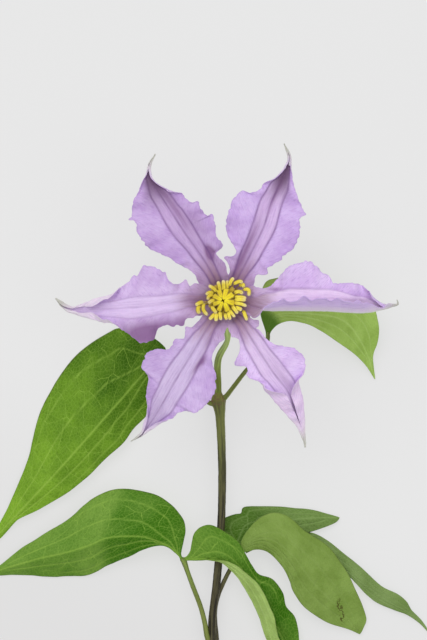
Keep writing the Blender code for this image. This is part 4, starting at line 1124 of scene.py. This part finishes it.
def floor_material():
    """A plain pale table top that glows faintly, so that shadows on it stay soft."""
    white = (1.0, 1.0, 1.0, 1.0)
    s = Shader(
        "pale_floor", Roughness=0.9, Emission_Color=white, Emission_Strength=0.6, Specular_IOR_Level=0.1
    )
    where = s.node("ShaderNodeTexCoord", "Object", {})
    cloud = s.noise(where, 1.5, 2.0)
    s.colour = s.mix(s.between(cloud, 0.3, 0.7), (0.48, 0.48, 0.48), (0.49, 0.49, 0.49))
    x, y, _ = s.parts(where)
    # Painted shade: the floor turns a little darker across a soft band towards -Y and -X
    s.tint(s.between(s.plus(y, s.times(x, 0.5)), 0.0, -0.09), (0.42, 0.415, 0.415))
    return s.finish()


# ---------------------------------------------------------------- studio

def make_floor():
    half = 3.0                # metres
    corners = [(-half, -half, 0.0), (half, -half, 0.0), (half, half, 0.0), (-half, half, 0.0)]
    mesh = bpy.data.meshes.new("floor")
    mesh.from_pydata(corners, [], [(0, 1, 2, 3)])
    mesh.materials.append(floor_material())
    floor = bpy.data.objects.new("floor", mesh)
    bpy.context.scene.collection.objects.link(floor)


def make_area_light(name, spot, power):
    """A round soft lamp that looks at the frame's origin."""
    data = bpy.data.lights.new(name, "AREA")
    data.shape = "DISK"
    data.size = LAMP_SIZE
    data.energy = power
    light = bpy.data.objects.new(name, data)
    bpy.context.scene.collection.objects.link(light)
    light.location = spot
    light.rotation_mode = "QUATERNION"
    light.rotation_quaternion = (-Vector(spot)).to_track_quat("-Z", "Y")


def make_camera():
    """Straight above the flower, with the stem running down the picture."""
    data = bpy.data.cameras.new("camera")
    data.sensor_fit = "VERTICAL"
    data.sensor_height = SENSOR
    data.sensor_width = SENSOR
    data.lens = SENSOR * CAMERA_AWAY / (PICTURE_HEIGHT * MM)
    camera = bpy.data.objects.new("camera", data)
    bpy.context.scene.collection.objects.link(camera)
    aim = FLOWER_FOOT + Vector((*AIM, 0.0)) * MM
    camera.location = (aim.x, aim.y, MIDDLE_HEIGHT + CAMERA_AWAY)
    bpy.context.scene.camera = camera


def make_studio():
    world = bpy.data.worlds.new("studio")
    bpy.context.scene.world = world
    world.use_nodes = True
    background = world.node_tree.nodes["Background"]
    background.inputs["Color"].default_value = (1.0, 1.0, 1.0, 1.0)
    background.inputs["Strength"].default_value = WORLD_STRENGTH
    make_floor()
    make_area_light("key", (-0.5, 0.9, 1.4), KEY_POWER)
    make_area_light("fill", (0.9, -0.3, 1.5), FILL_POWER)
    bpy.context.scene.view_settings.view_transform = "Standard"


def main():
    make_camera()
    make_studio()
    for seed, (name, shape) in enumerate(SEPALS.items(), 1):
        make_sepal(name, shape, seed, sepal_material(name + "_tissue", *shape["look"]))
    for seed, (name, shape) in enumerate(LEAVES.items(), 21):
        make_leaf(name, shape, seed, leaf_material(name + "_tissue", LOOKS[shape["look"]]))
    skins = {name: stem_material(name, *look) for name, look in SKINS.items()}
    make_tube("fine_stem", "stem", STEM, 420, 48, skins["stem_skin"], 6, 0.045, 0.05, 3)
    green = skins["stalk_skin"]
    make_tube("fine_flower_stalk", "flower_stalk", FLOWER_STALK, 160, 40, green, 5, 0.03, 0.04, 4)
    make_tube("fine_receptacle", "receptacle", RECEPTACLE, 40, 36, green, 0, 0.0, 0.08, 5)
    for seed, (name, knots) in enumerate(PETIOLES.items(), 41):
        skin = skins["dark_petiole_skin" if name == "petiole_lower_right" else "petiole_skin"]
        make_tube("fine_" + name, name, knots, 130, 28, skin, 5, 0.05, 0.035, seed)
    filament = (0.66, 0.56, 0.36)
    yellow = anther_material("outer_anther", (0.99, 0.92, 0.3), (0.98, 0.94, 0.72), filament)
    deep = anther_material("inner_anther", (1.0, 0.92, 0.06), (1.0, 0.94, 0.12), filament)
    shaded = anther_material("shaded_anther", (0.8, 0.68, 0.1), (0.8, 0.71, 0.34), (0.52, 0.42, 0.24))
    make_stamens(yellow, deep, shaded)
    heart = skins["pistil_skin"]
    make_tube("fine_pistils", "pistil_cluster", PISTILS, 40, 42, heart, 7, 0.16, 0.06, 6)


main()
